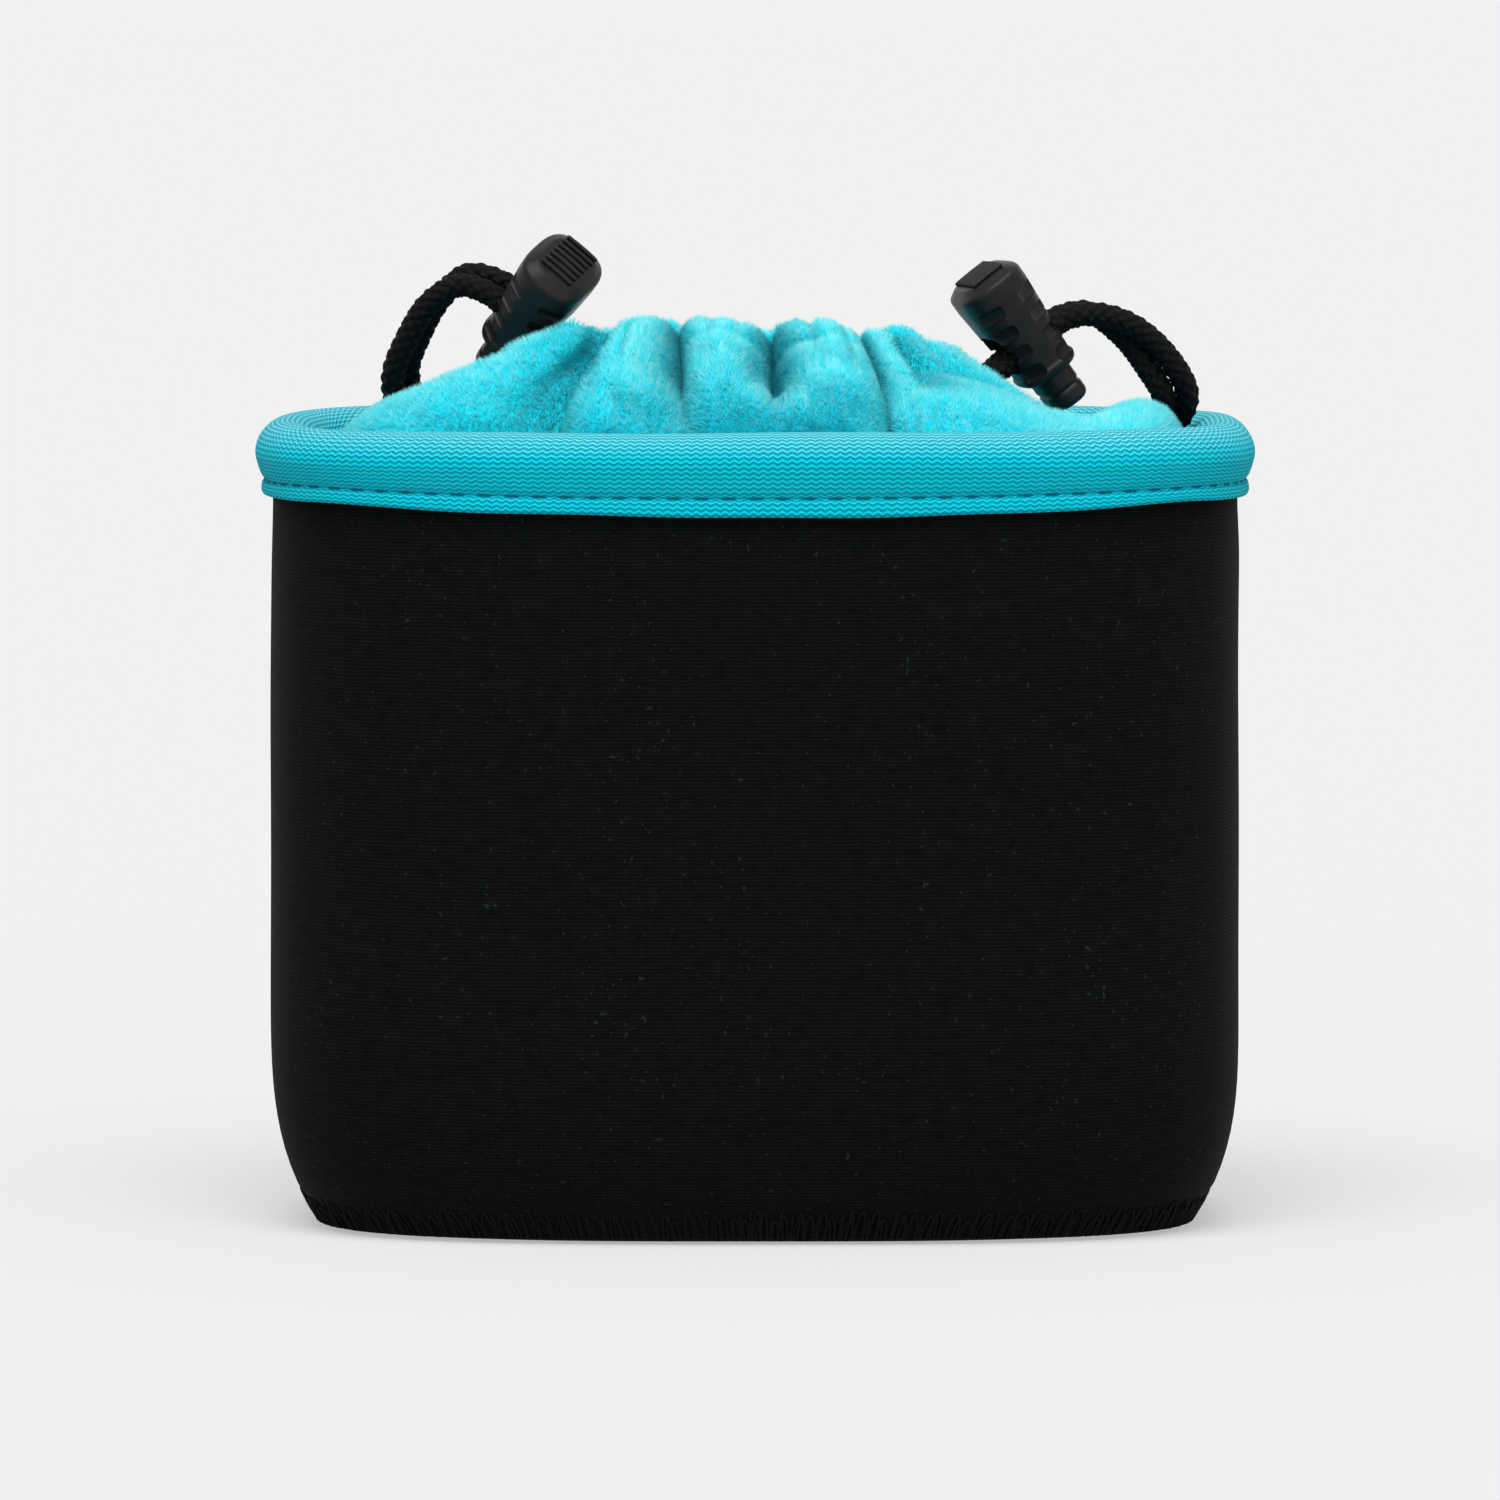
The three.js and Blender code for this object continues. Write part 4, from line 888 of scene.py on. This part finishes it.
hang = sag(rim_angles)[None]
lowered = np.clip(1 - (rim_height - 1.4 * mm) / (4 * mm), 0, 1) * (rim_offset > roll_offset * mm)
at_corner = np.exp(-((hang + 0.35 * mm) / (0.5 * mm)) ** 2)
rim_height = rim_height + (0.15 * mm * waves + 0.7 * mm * at_corner) * near_edge - hang * lowered
pulled = 0.5 + 0.5 * np.cos(2 * math.pi * stitches * beside)
groove = groove_height - hang
near_groove = np.exp(-((rim_height - groove) / (0.5 * mm)) ** 2) * (rim_offset > 0.3 * mm)
plump = np.sin(2 * math.pi * 5 * beside) * np.sin(2 * math.pi * 3 * beside + 2)
on_roll = np.clip((rim_height - 3 * mm) / (6 * mm), 0, 1)
rim_offset = rim_offset - 0.2 * pulled * mm * near_groove
rim_points = round_case(rim_offset, wall_top + rim_height + 0.22 * mm * plump * on_roll, rim_angles[None])

binding, binding_shader = plain("chevron_knit", (0.01, 0.56, 0.7), 0.85, Specular_IOR_Level=0.02,
                                Sheen_Weight=0.06)
along_rim, over_rim = on_surface(binding)
zigzag = maths(binding, "PINGPONG", maths(binding, "MULTIPLY", along_rim, 1 / (1.64 * mm)), 0.5)
ridge = maths(binding, "MULTIPLY_ADD", over_rim, 1 / (0.88 * mm), zigzag)
ridge = maths(binding, "SINE", maths(binding, "MULTIPLY", ridge, 2 * math.pi))
ridge = add(binding, "Clamp", {"Value": maths(binding, "MULTIPLY_ADD", ridge, 0.75, 0.5)})
filaments = speckle(binding, 3600, detail=2)
yarn_height = maths(binding, "MULTIPLY_ADD", filaments, 0.25, ridge)
# Painted top light: the yarns more than 7 mm above the wall's top are painted whiter, as where light falls.
height_up = add(binding, "SeparateXYZ", {"Vector": add(binding, "TexCoord", {}, output=3)}, output=2)
painted_top_light = maths(binding, "MULTIPLY_ADD", height_up, 1 / (5 * mm), -(wall_top + 7 * mm) / (5 * mm))
painted_top_light = maths(binding, "MULTIPLY", add(binding, "Clamp", {"Value": painted_top_light}), filaments)
yarn_ridge_top_lit = between_colours(binding, painted_top_light, (0.003, 0.80, 0.97), (0.5, 1, 1))
# Painted shade and highlight on the knit's relief: dark teal in the grooves, light cyan on the chevron
# ridges.
yarn_colour = between_colours(binding, yarn_height, (0.0003, 0.36, 0.5), yarn_ridge_top_lit)
finish(binding, binding_shader, colour=yarn_colour, height=yarn_height, depth=0.28 * mm)
rim = make("rim_roll", quads(rim_points, loop=True, uv=spread_of(rim_points, loop=True)))
belongs(rim, "root", "binding_knit", binding, "rim_binding")

foam, foam_shader = plain("foam", (0.7, 0.7, 0.68), 0.9)
cells = speckle(foam, 1800, detail=2)
finish(foam, foam_shader, colour=between_colours(foam, cells, (0.55, 0.55, 0.53), (0.78, 0.78, 0.76)),
       height=cells, depth=0.4 * mm)
core_turn = full_turn(24)[:, None]
core_points = round_case((roll_offset + 3.7 * np.cos(core_turn)) * mm,
                         wall_top + (roll_rise + 3.7 * np.sin(core_turn)) * mm, lining_angles[None])
core = make("rim_foam", quads(core_points, loop=True, uv=spread_of(core_points, loop=True)))
belongs(core, "root", "foam", foam, "rim_core")

thread_teal, thread_teal_shader = plain("teal_thread", (0.002, 0.15, 0.21), 0.7, Specular_IOR_Level=0.1)
plies = speckle(thread_teal, 3600, detail=2)
finish(thread_teal, thread_teal_shader, height=plies, depth=0.08 * mm,
       colour=between_colours(thread_teal, plies, (0.001, 0.1, 0.15), (0.003, 0.2, 0.28)))
dashes = []
for start in np.arange(stitches) * girth / stitches:
    angle = angle_at((start + np.linspace(-stitch_half, stitch_half, 9) * mm) % girth)
    arch = 0.25 * mm * np.sin(np.linspace(0, math.pi, 9))
    dash = round_case(0.5 * mm + arch, wall_top + groove_height - sag(angle), angle)
    dashes.append(quads(tube(dash, [0, 0, 1], 0.16 * mm, 6, dome=False)))
belongs(make("rim_stitches", *dashes), "root", "teal_thread", thread_teal, "rim_thread")

# Hem: the collar's fleece turned over into a front and a back tunnel, with a drawcord in each and a soft
# crest above. Drawn together, its creases go on from those of the collar.

hem_bore, hem_half, hem_outer = 2.5 * mm, 3.1 * mm, 3.3 * mm
hem_corner, crest_half, neck_half = 1.45 * mm, 1.05 * mm, 2.1 * mm
crest_start, crest_step = -40 * mm, 5 * mm
hem_step, hem_rounds = 0.25 * mm, 4
crest_heights = {
    "front": [23.6, 26.7, 27.4, 25.8, 26.3, 27.1, 27, 26, 26.2,
              27, 25.4, 24.6, 25.4, 26.1, 24, 22.6, 19.4, 16],
    "back": [20, 22.6, 24.6, 24.8, 24.4, 25, 25.2, 24.2, 24.4, 25, 24, 23, 23.6, 24, 22, 19.6, 17.4, 14],
}
hem_middle = {
    "front": [(-11, -8.4, 13.6), (4, -11.4, 13.4), (17, -9, 11)],
    "back": [(-11, 5, 13.6), (4, 6.6, 13.4), (17, 4.6, 11)],
}


def hem_line(which):
    """The drawcord's way through a tunnel, from the left exits to the right ones."""
    depths = [hem_end, 8.8 * mm, hem_depth, 16.3 * mm]
    left, right = ([exit_point(name, which, depth) for depth in depths] for name in ("left", "right"))
    return smooth_line([*left, *[above_wall(p) for p in hem_middle[which]], *right[::-1]], hem_step)


def at_share(line, share):
    """Points at shares of a line's length, and its direction there."""
    at = np.asarray(share) * (len(line) - 1)
    index = np.arange(len(line))
    known = (line, unit(np.gradient(line, axis=0)))
    return [np.stack([np.interp(at, index, values[:, k]) for k in range(3)], -1) for values in known]


def from_list(values, p, smooth=False):
    """The value at place p in a list, with straight or smooth steps from one to the next."""
    values = np.array(values, float)
    i = np.clip(np.floor(p).astype(int), 0, len(values) - 2)
    share = p - i
    share = share**2 * (3 - 2 * share) if smooth else share
    return values[i] * (1 - share) + values[i + 1] * share


def facing_out(points, wrap=False):
    """A grid's normals: the cross product of its steps along the rows and along the columns."""
    if wrap:
        along = np.roll(points, -1, 1) - np.roll(points, 1, 1)
    else:
        along = np.gradient(points, axis=1)
    return unit(np.cross(along, np.gradient(points, axis=0)) + 1e-12)


hem_lines = {which: hem_line(which) for which in facing}
hem_creases = {
    "front": [0.11, 0.28, 0.385, 0.485, 0.6, 0.69, 0.75, 0.88],
    "back": [0.14, 0.31, 0.47, 0.66, 0.84],
}


def rounded(rings, between):
    """Closed rings through the given ones, with that many points from one to the next, by the uniform
    Catmull-Rom cubic."""
    t = (np.arange(between) / between)[None, None, :, None]
    p0, p1, p2, p3 = (np.roll(rings, shift, 1)[:, :, None] for shift in (1, 0, -1, -2))
    cubic = 2 * p1 + (p2 - p0) * t + (2 * p0 - 5 * p1 + 4 * p2 - p3) * t**2
    cubic = cubic + (3 * p1 - p0 - 3 * p2 + p3) * t**3
    return (0.5 * cubic).reshape(len(rings), -1, 3)


def crest(which, x):
    """The height of the mouth's edge at a place across the case."""
    return wall_top + from_list(crest_heights[which], (x - crest_start) / crest_step, smooth=True) * mm


def hem_points(which, stations=230):
    """A tunnel's outside in rings: round under the cord, narrowing to a neck and a crest above, which falls
    in a quarter circle at either end, pinched in at each crease by a bell curve. Its inside is a circle."""
    share = np.linspace(0, 1, stations)
    centre, way = at_share(hem_lines[which], share)
    aside = unit(np.stack([-way[:, 1], way[:, 0], 0 * share], -1)) * facing[which]
    up = across(np.array([0, 0, 1.0]), way)
    wave = 0.5 * mm * np.sin(10 * math.pi * share) + 0.3 * mm * np.sin(46 * math.pi * share)
    end = np.clip(np.minimum(share, 1 - share) / 0.07, 0, 1)
    top = (crest(which, centre[:, 0]) - centre[:, 2]) * (0.45 + 0.55 * np.sqrt(1 - (1 - end) ** 2))
    top = np.maximum(top, hem_corner + 1.2 * mm) + 0.35 * mm * np.sin(31 * share) * np.sin(77 * share + 1)
    pinch = np.clip(sum(np.exp(-(((share - s) / 0.016) ** 2)) for s in hem_creases[which]), 0, 1)
    out = 1 - 0.42 * pinch
    top = top * (1 - 0.08 * pinch)
    level = np.array([0, 0, 1.0])
    spots = [(hem_outer * out, -hem_corner, 0), (hem_outer * out, hem_corner, 0),
             ((neck_half * out + wave), 0, 0.55), (crest_half + wave, 0, 1), (-crest_half + wave, 0, 1),
             (-neck_half + wave / 2, 0, 0.55), (-hem_half, hem_corner, 0), (-hem_half, -hem_corner, 0),
             (-hem_corner, -hem_half, 0), (hem_corner, -hem_half, 0)]
    rings = [centre + np.reshape(a, (-1, 1)) * aside + b * up + (h * top)[:, None] * level
             for a, b, h in spots]
    outer = rounded(np.stack(rings, 1), hem_rounds)
    angle = (np.arange(10 * hem_rounds) / hem_rounds - 0.5)[:, None] * math.radians(36)
    inner = centre[:, None] + hem_bore * (np.cos(angle) * aside[:, None] + np.sin(angle) * up[:, None])
    return outer, inner


fur, fur_shader = plain("fleece_pile", fleece_mid, 0.9, Specular_IOR_Level=0.03, Sheen_Weight=0.04)
toward_tip = stored(fur, "tip")
strand_tone_and_top_light = stored(fur, "tone_and_top_light")
# Painted shade and highlight along each strand: its root is painted darker, as deep in the pile, its tip
# lighter.
fur_root_shade = between_colours(fur, strand_tone_and_top_light, fleece_low, fleece_mid)
fur_tip_highlight = between_colours(fur, strand_tone_and_top_light, fleece_mid, fleece_tip_highlight)
fur_lit = between_colours(fur, toward_tip, fur_root_shade, fur_tip_highlight)
# Painted shade in the creases: the strands there are mixed towards the deep teal.
finish(fur, fur_shader, colour=between_colours(fur, stored(fur, "crease"), fur_lit, crease_shade_colour))


pile_root, pile_half = 0.25 * mm, 0.075 * mm
tuft = np.array([0.85, 1.5]) * mm
swirls = (((1, 0.6, 0.2), 0), ((0.3, 1, 0.5), 2), ((0.5, 0.2, 1), 4))


def pile(name, points, normals, lean, count, length, seed, shade_in_creases=None):
    """Fleece strands on a grid of points, spread evenly by area: spikes with three sides, whose open feet
    stand in the sheet. A strand runs out by its length along the normal plus lean, and its tip is drawn a
    part of the way to the middle of its tuft. The tufts stand in rows up the sheet, which wander a little.
    The last argument, from 0 to 1, is painted crease shade: it deepens the strands' colour and shortens them."""
    random = np.random.default_rng(seed)
    crossed = np.cross(points[1:, 1:] - points[:-1, :-1], points[1:, :-1] - points[:-1, 1:])
    area = np.linalg.norm(crossed, axis=-1).ravel()
    i, j = np.divmod(random.choice(area.size, count, p=area / area.sum()), points.shape[1] - 1)
    s, t = random.random((2, count, 1))

    def at(grid):
        low = (1 - t) * grid[i, j] + t * grid[i, j + 1]
        high = (1 - t) * grid[i + 1, j] + t * grid[i + 1, j + 1]
        return (1 - s) * low + s * high

    root, normal, away = at(points), unit(at(normals)), at(lean)
    row_way, up_way = (unit(at(np.gradient(points, axis=k))) for k in (1, 0))
    here = at(spread_of(points, wrap=False))
    swirl = np.stack([np.sin(root @ way * 700 + start) for way, start in swirls], -1)
    place = here / tuft + [0.35, 0.8] * swirl[:, :2]
    cell = np.floor(place)
    key = (cell @ [73.0, 1931.0]).astype(int) % 7919
    table = random.random((7919, 4))
    shade_here = 0 * s if shade_in_creases is None else at(shade_in_creases[..., None])
    reach = length * (0.7 + 0.3 * table[key, 3:] + 0.3 * random.random((count, 1))) * (1 - 0.6 * shade_here)
    way = normal + away + 0.16 * swirl + 0.3 * (table[key, :3] - 0.5)
    way = unit(way + 0.12 * random.normal(size=(count, 3)))
    gather = 0.16 * (cell + 0.5 - place) * tuft
    tip = root + reach * way + gather[:, :1] * row_way + gather[:, 1:] * up_way
    root = root - pile_root * normal
    side = across(random.normal(size=(count, 3)), unit(tip - root))
    other = np.cross(unit(tip - root), side)
    turn = np.radians([90, 210, 330])[None, :, None]
    foot = root[:, None] + pile_half * (np.cos(turn) * side[:, None] + np.sin(turn) * other[:, None])
    vertices = np.concatenate([foot, tip[:, None]], axis=1).reshape(-1, 3)
    corners = np.array([0, 1, 3, 1, 2, 3, 2, 0, 3])[None] + 4 * np.arange(count)[:, None]
    sizes = np.full(3 * count, 3)
    piece = make(name, (vertices, corners.ravel(), sizes, np.zeros((9 * count, 2))))
    store(piece, "tip", np.tile([0.0, 0, 0, 1], count))
    # A random brightness for each tuft and strand, then painted top light: strands on sheet that faces up are
    # painted lighter, and those on sheet that faces sideways or down darker.
    tone_and_top_light = (0.1 + 0.45 * table[key, 0] + 0.45 * random.random(count)) ** 1.3
    tone_and_top_light = tone_and_top_light * (0.2 + 1.1 * np.clip(normal[:, 2], 0, 1))
    store(piece, "tone_and_top_light", np.repeat(tone_and_top_light, 4))
    store(piece, "crease", np.repeat(shade_here[:, 0], 4))
    return belongs(piece, "root", "fleece", fur)


def sheet_area(piece):
    """Half of a closed sheet's surface."""
    areas = np.empty(len(piece.data.polygons))
    piece.data.polygons.foreach_get("area", areas)
    return areas.sum() / 2


hem_strands, hem_pile = {"front": 40000, "back": 26000}, 1.0 * mm
shows = slice(8, 30)
for number, which in enumerate(facing):
    outer, inner = hem_points(which)
    points = np.concatenate([outer, inner[::-1]])
    hem = make(f"fleece_hem_{which}", quads(points, loop=True, uv=spread_of(points, loop=True)))
    belongs(hem, "root", "fleece", nap, f"hem_{which}")
    normals = facing_out(outer, wrap=True)
    normals *= np.sign((normals * (outer - outer.mean(1, keepdims=True))).sum())
    lean = np.array([0, 0, 0.5]) + 0 * outer[:, shows]
    nap_hem = pile(f"fleece_hem_pile_{which}", outer[:, shows], normals[:, shows], lean,
                   hem_strands[which], hem_pile, 40 + number)
    width = run_of(hem_lines[which])[-1]
    sheet_area(hem) / width
    line = hem_lines[which]
    cut = int((hem_depth - 1 * mm) / hem_step)
    inner_cord = braid_cord(f"inner_drawcord_{which}", evenly(line[cut:-cut], 0.2 * mm), [0, 0.1, 1])
    belongs(inner_cord, "root", "cord_braid", braid, f"drawcord_{which}")

# Collar: two panels of plush fleece, sewn to the rim's inside and to each other at the sides, and gathered
# into deep pleats up to the hem.

collar_thick = 2.4 * mm
collar_drop = 5.8 * mm
side_gap = 0.15 * mm
top_gap = 0.2 * mm
panels = {
    "front": {
        "feet": [-1, -0.5, -0.15, 0.046, 0.324, 0.4, 1],
        "tops": [0, 0.11, 0.28, 0.485, 0.69, 0.75, 1],
        "shoulders": [15, 13, 12, 14, 15.5, 15.5, 15.5, 15, 14.5, 13, 11, 5, 31],
        "slopes": [10, 11.5, 14.5, 16.5, 18, 18, 18, 18, 17.5, 16.5, 14.5, 6, -8],
        "swell": [5.4, 6.6, 6, 6.6, 2, 3.8],
        "starts": [0, 0, 0, 0.45, 0, 0.62, 0],
    },
    "back": {
        "feet": [-1, -0.902, -0.464, 0.014, 0.464, 0.902, 1],
        "tops": [0, 0.14, 0.31, 0.47, 0.66, 0.84, 1],
        "shoulders": [15, -5, 6, 11, 6, -5, 31],
        "slopes": [10, -4, 9, 14, 8, -5, -8],
        "swell": [0.6, 2.4, 3.4, 3.4, 2.4, 0.6],
        "starts": [0, 0, 0, 0, 0, 0, 0],
    },
}
front_corners = {
    "left": [(-32.8, -0.15, 16), (-34.2, -5.6, 16), (-35.6, -10.2, 19), (-34.2, -12, 25.4), (-31, -11, 27.4),
             None],
    "right": [None,
              (28, -10.6, 24.6), (34.5, -11.4, 22), (40, -10.8, 17.4), (43, -7, 12.2), (40.8, -0.15, 11.5)],
}


def collar_line(which, p, v):
    """The panel's middle surface without its pleats: at place p across it, a cubic Bezier curve up from the
    rim by way of a shoulder and a slope to its top, at v from 0 to 1. The back ends at the hem's side. The
    front goes on over the hem to the crest, and its two corners wrap round the hem's ends, in front of the
    cords."""
    panel = panels[which]
    count = len(panel["swell"])
    offset = inside_lining - 1 * mm - clear - collar_thick
    feet = np.array(panel["feet"], float)
    angle = from_list(np.arccos(np.sign(feet) * np.abs(feet) ** (top_squareness / 2)), p)
    low = squared(angle, half_width + offset, half_depth + offset, wall_top - collar_drop, top_squareness)
    low[..., 1] = facing[which] * np.maximum(side_gap, low[..., 1])
    tops = panel["tops"]
    inner_share = from_list(tops, np.clip(p, 1, count - 1))
    centre, way = at_share(hem_lines[which], inner_share if which == "front" else from_list(tops, p))
    beside = unit(np.stack([-way[..., 1], way[..., 0], 0 * p], -1)) * facing[which]
    if which == "front":
        high = centre + (crest_half + 0.5 * mm) * beside
        high[..., 2] = crest(which, high[..., 0]) - 0.5 * mm
        for name, start in (("left", 0), ("right", count - 1)):
            joint, border = (1, 0) if name == "left" else (count - 1, count)
            reached = high[0, int(round(joint * (p.shape[1] - 1) / count))]
            way_round = np.array([reached if c is None else above_wall(c) for c in front_corners[name]])
            here = (p > start) & (p < start + 1) | (p == border)
            corner = np.stack([from_list(way_round[:, k], (p - start) * 5) for k in range(3)], -1)
            high = np.where(here[..., None], corner, high)
    else:
        near = np.maximum(0, np.maximum(1 - p, p - count + 1))
        high = centre + (hem_outer + top_gap) * beside + [0, 0, 6 * mm]
        bend = np.where((p < 1)[..., None], axes["left"]["bend"], axes["right"]["bend"])
        seam = np.stack([bend[..., 0], facing[which] * side_gap + 0 * p, bend[..., 2] - 7.3 * mm], -1)
        weight = np.stack([near**2, near**5, near], -1)
        high = high * (1 - weight) + seam * weight
    shoulder = low * 0.95 + high * 0.05
    steps = (len(panel["slopes"]) - 1) / count
    shoulder[..., 2] = wall_top + from_list(panel["shoulders"], steps * p, smooth=True) * mm
    slope = low * 0.4 + high * 0.6
    slope[..., 2] = wall_top + from_list(panel["slopes"], steps * p, smooth=True) * mm
    v = v[..., None]
    return (1 - v) ** 3 * low + 3 * (1 - v) ** 2 * v * shoulder + 3 * (1 - v) * v**2 * slope + v**3 * high


creases = {
    "front": [(0.88, 0.55, 0.05, 1.0), (1.0, 0.1, 0.11, 2.2), (1.16, 0.45, 0.05, 2.2), (1.34, 0.5, 0.05, 2.2),
              (1.55, 0.62, 0.045, 1.8), (2, 0.4, 0.09, 2.6), (2.35, 0.8, 0.05, 0.8), (2.7, 0.8, 0.05, 0.8),
              (3, 0.4, 0.1, 3.2), (3.3, 0.72, 0.05, 1.1), (3.62, 0.6, 0.05, 1.4), (4, 0.2, 0.085, 2.4),
              (5, 0.72, 0.06, 1.8), (5.2, 0.78, 0.04, 1.0)],
    "back": [(1.5, 0.85, 0.06, 0.8), (2.5, 0.85, 0.06, 0.9), (3.5, 0.85, 0.06, 0.9), (4.5, 0.85, 0.06, 0.8)],
}


def collar_points(which, rows=80, per_pleat=60):
    """A panel's two faces: the middle surface raised in each pleat by its swell times sin(pi across)^0.85
    times a quarter sine up from the rim, with a bell-shaped dip for each crease and a shallow valley along
    the seam that makes the tunnel. Also how much painted shade each point gets in a crease."""
    swell = panels[which]["swell"]
    count = len(swell)
    p = np.linspace(0, count, count * per_pleat + 1)[None]
    v = np.linspace(0, 1, rows)[:, None]
    p, v = np.broadcast_arrays(p, v)
    middle = collar_line(which, p, v)
    normal = facing_out(middle)
    normal *= np.sign((normal[..., 1] * facing[which]).sum())
    pleat = from_list(swell, np.clip(p - 0.5, 0, count - 1), smooth=True)
    fall = 1 - (0.35 if which == "front" else 0.7) * np.clip((v - 0.5) / 0.5, 0, 1) ** 2
    climb = np.sin(math.pi / 2 * np.clip(v / 0.5, 0, 1)) ** 1.3 * fall
    climb = climb * np.sqrt(1 - np.clip((v - 0.8) / 0.2, 0, 1) ** 2)
    begun = np.clip((v - np.array(panels[which]["starts"])[np.round(p).astype(int)] + 0.12) / 0.2, 0, 1)
    begun = begun**2 * (3 - 2 * begun)
    closed = np.where(np.round(p) == 1, 1, 0.4 + 0.6 * np.clip((v - 0.25) / 0.35, 0, 1))
    rise = pleat * (1 - begun * closed * (1 - np.abs(np.sin(math.pi * p)) ** 0.85)) * climb * mm
    in_fold = np.exp(-((np.abs(p - np.round(p)) / 0.17) ** 2))
    # Painted shade: how much the fleece is painted darker along the fold between two pleats and in each
    # crease dip.
    shade_in_creases = 0.8 * begun * closed**2 * in_fold * (p > 0.5) * (p < count - 0.5)
    for place, start, width, depth in creases[which]:
        bell = np.clip((v - start + 0.12) / 0.25, 0, 1) * np.exp(-(((p - place) / width) ** 2))
        rise = rise - depth * mm * bell
        shade_in_creases = np.maximum(shade_in_creases, 0.32 * depth * bell)
    seam = np.exp(-(((v - 0.76 - 0.03 * np.sin(3 * p)) / 0.05) ** 2)) * (which == "front")
    rise = rise - 0.9 * mm * seam * (0.5 + 0.5 * np.sin(2.4 * p + 1))
    rise = rise + 0.3 * mm * np.sin(9 * p + 5 * v) * np.sin(11 * v + 3 * p) * np.sin(math.pi * v)
    near = np.clip((np.maximum(1 - p, p - count + 1) - 0.2) / 0.4, 0, 1)
    inward = near**2 * (3 - 2 * near) * v**2
    middle = middle + rise[..., None] * normal
    under = middle - (collar_thick * inward)[..., None] * normal
    over = middle + (collar_thick * (1 - inward) - 0.9 * mm)[..., None] * normal
    for face in (under, over):
        face[:, [0, -1], 1] = facing[which] * side_gap
    return over, under, np.clip(shade_in_creases, 0, 0.95)


def closed_sheet(over, under):
    """A sheet's faces from its two grids: over, under turned round, and a strip that joins their borders."""
    vertices, corners, sizes, spread = quads(over, wrap=False, uv=spread_of(over, wrap=False))
    count = len(vertices)
    index = np.arange(count).reshape(over.shape[:2])
    border = np.concatenate([index[0, :-1], index[:-1, -1], index[-1, :0:-1], index[:0:-1, 0]])
    after = np.roll(border, -1)
    edge = np.stack([after, border, border + count, after + count], -1)
    turned = corners.reshape(-1, 4)[:, ::-1]
    under_spread = spread.reshape(-1, 4, 2)[:, ::-1].reshape(-1, 2)
    return (np.vstack([vertices, under.reshape(-1, 3)]),
            np.concatenate([corners, turned.ravel() + count, edge.ravel()]),
            np.full(2 * len(sizes) + len(edge), 4),
            np.vstack([spread, under_spread, np.zeros((4 * len(edge), 2))]))


collar_strands, collar_pile = {"front": 46000, "back": 30000}, 1.6 * mm
collar_parts = {"front": 4, "back": 2}
for number, which in enumerate(facing):
    over, under, shade_in_creases = collar_points(which)
    collar = make(f"fleece_collar_{which}", closed_sheet(over, under))
    belongs(collar, "root", "fleece", nap, f"collar_{which}")
    normal = facing_out(over)
    normal *= np.sign((normal[..., 1] * facing[which]).sum())
    lean = -0.35 * unit(np.gradient(over, axis=0)) + [0, 0, 0.3]
    cuts = np.linspace(0, over.shape[1] - 1, collar_parts[which] + 1).astype(int)
    parts = [slice(start, stop + 1) for start, stop in zip(cuts[:-1], cuts[1:])]
    strands = [pile(f"fleece_pile_{which}_{k}", over[:, part], normal[:, part], lean[:, part],
                    collar_strands[which], collar_pile, 10 * number + k, shade_in_creases[:, part])
               for k, part in enumerate(parts)]
    width = np.linalg.norm(np.diff(over[len(over) // 2], axis=0), axis=1).sum()
    sheet_area(collar) / width
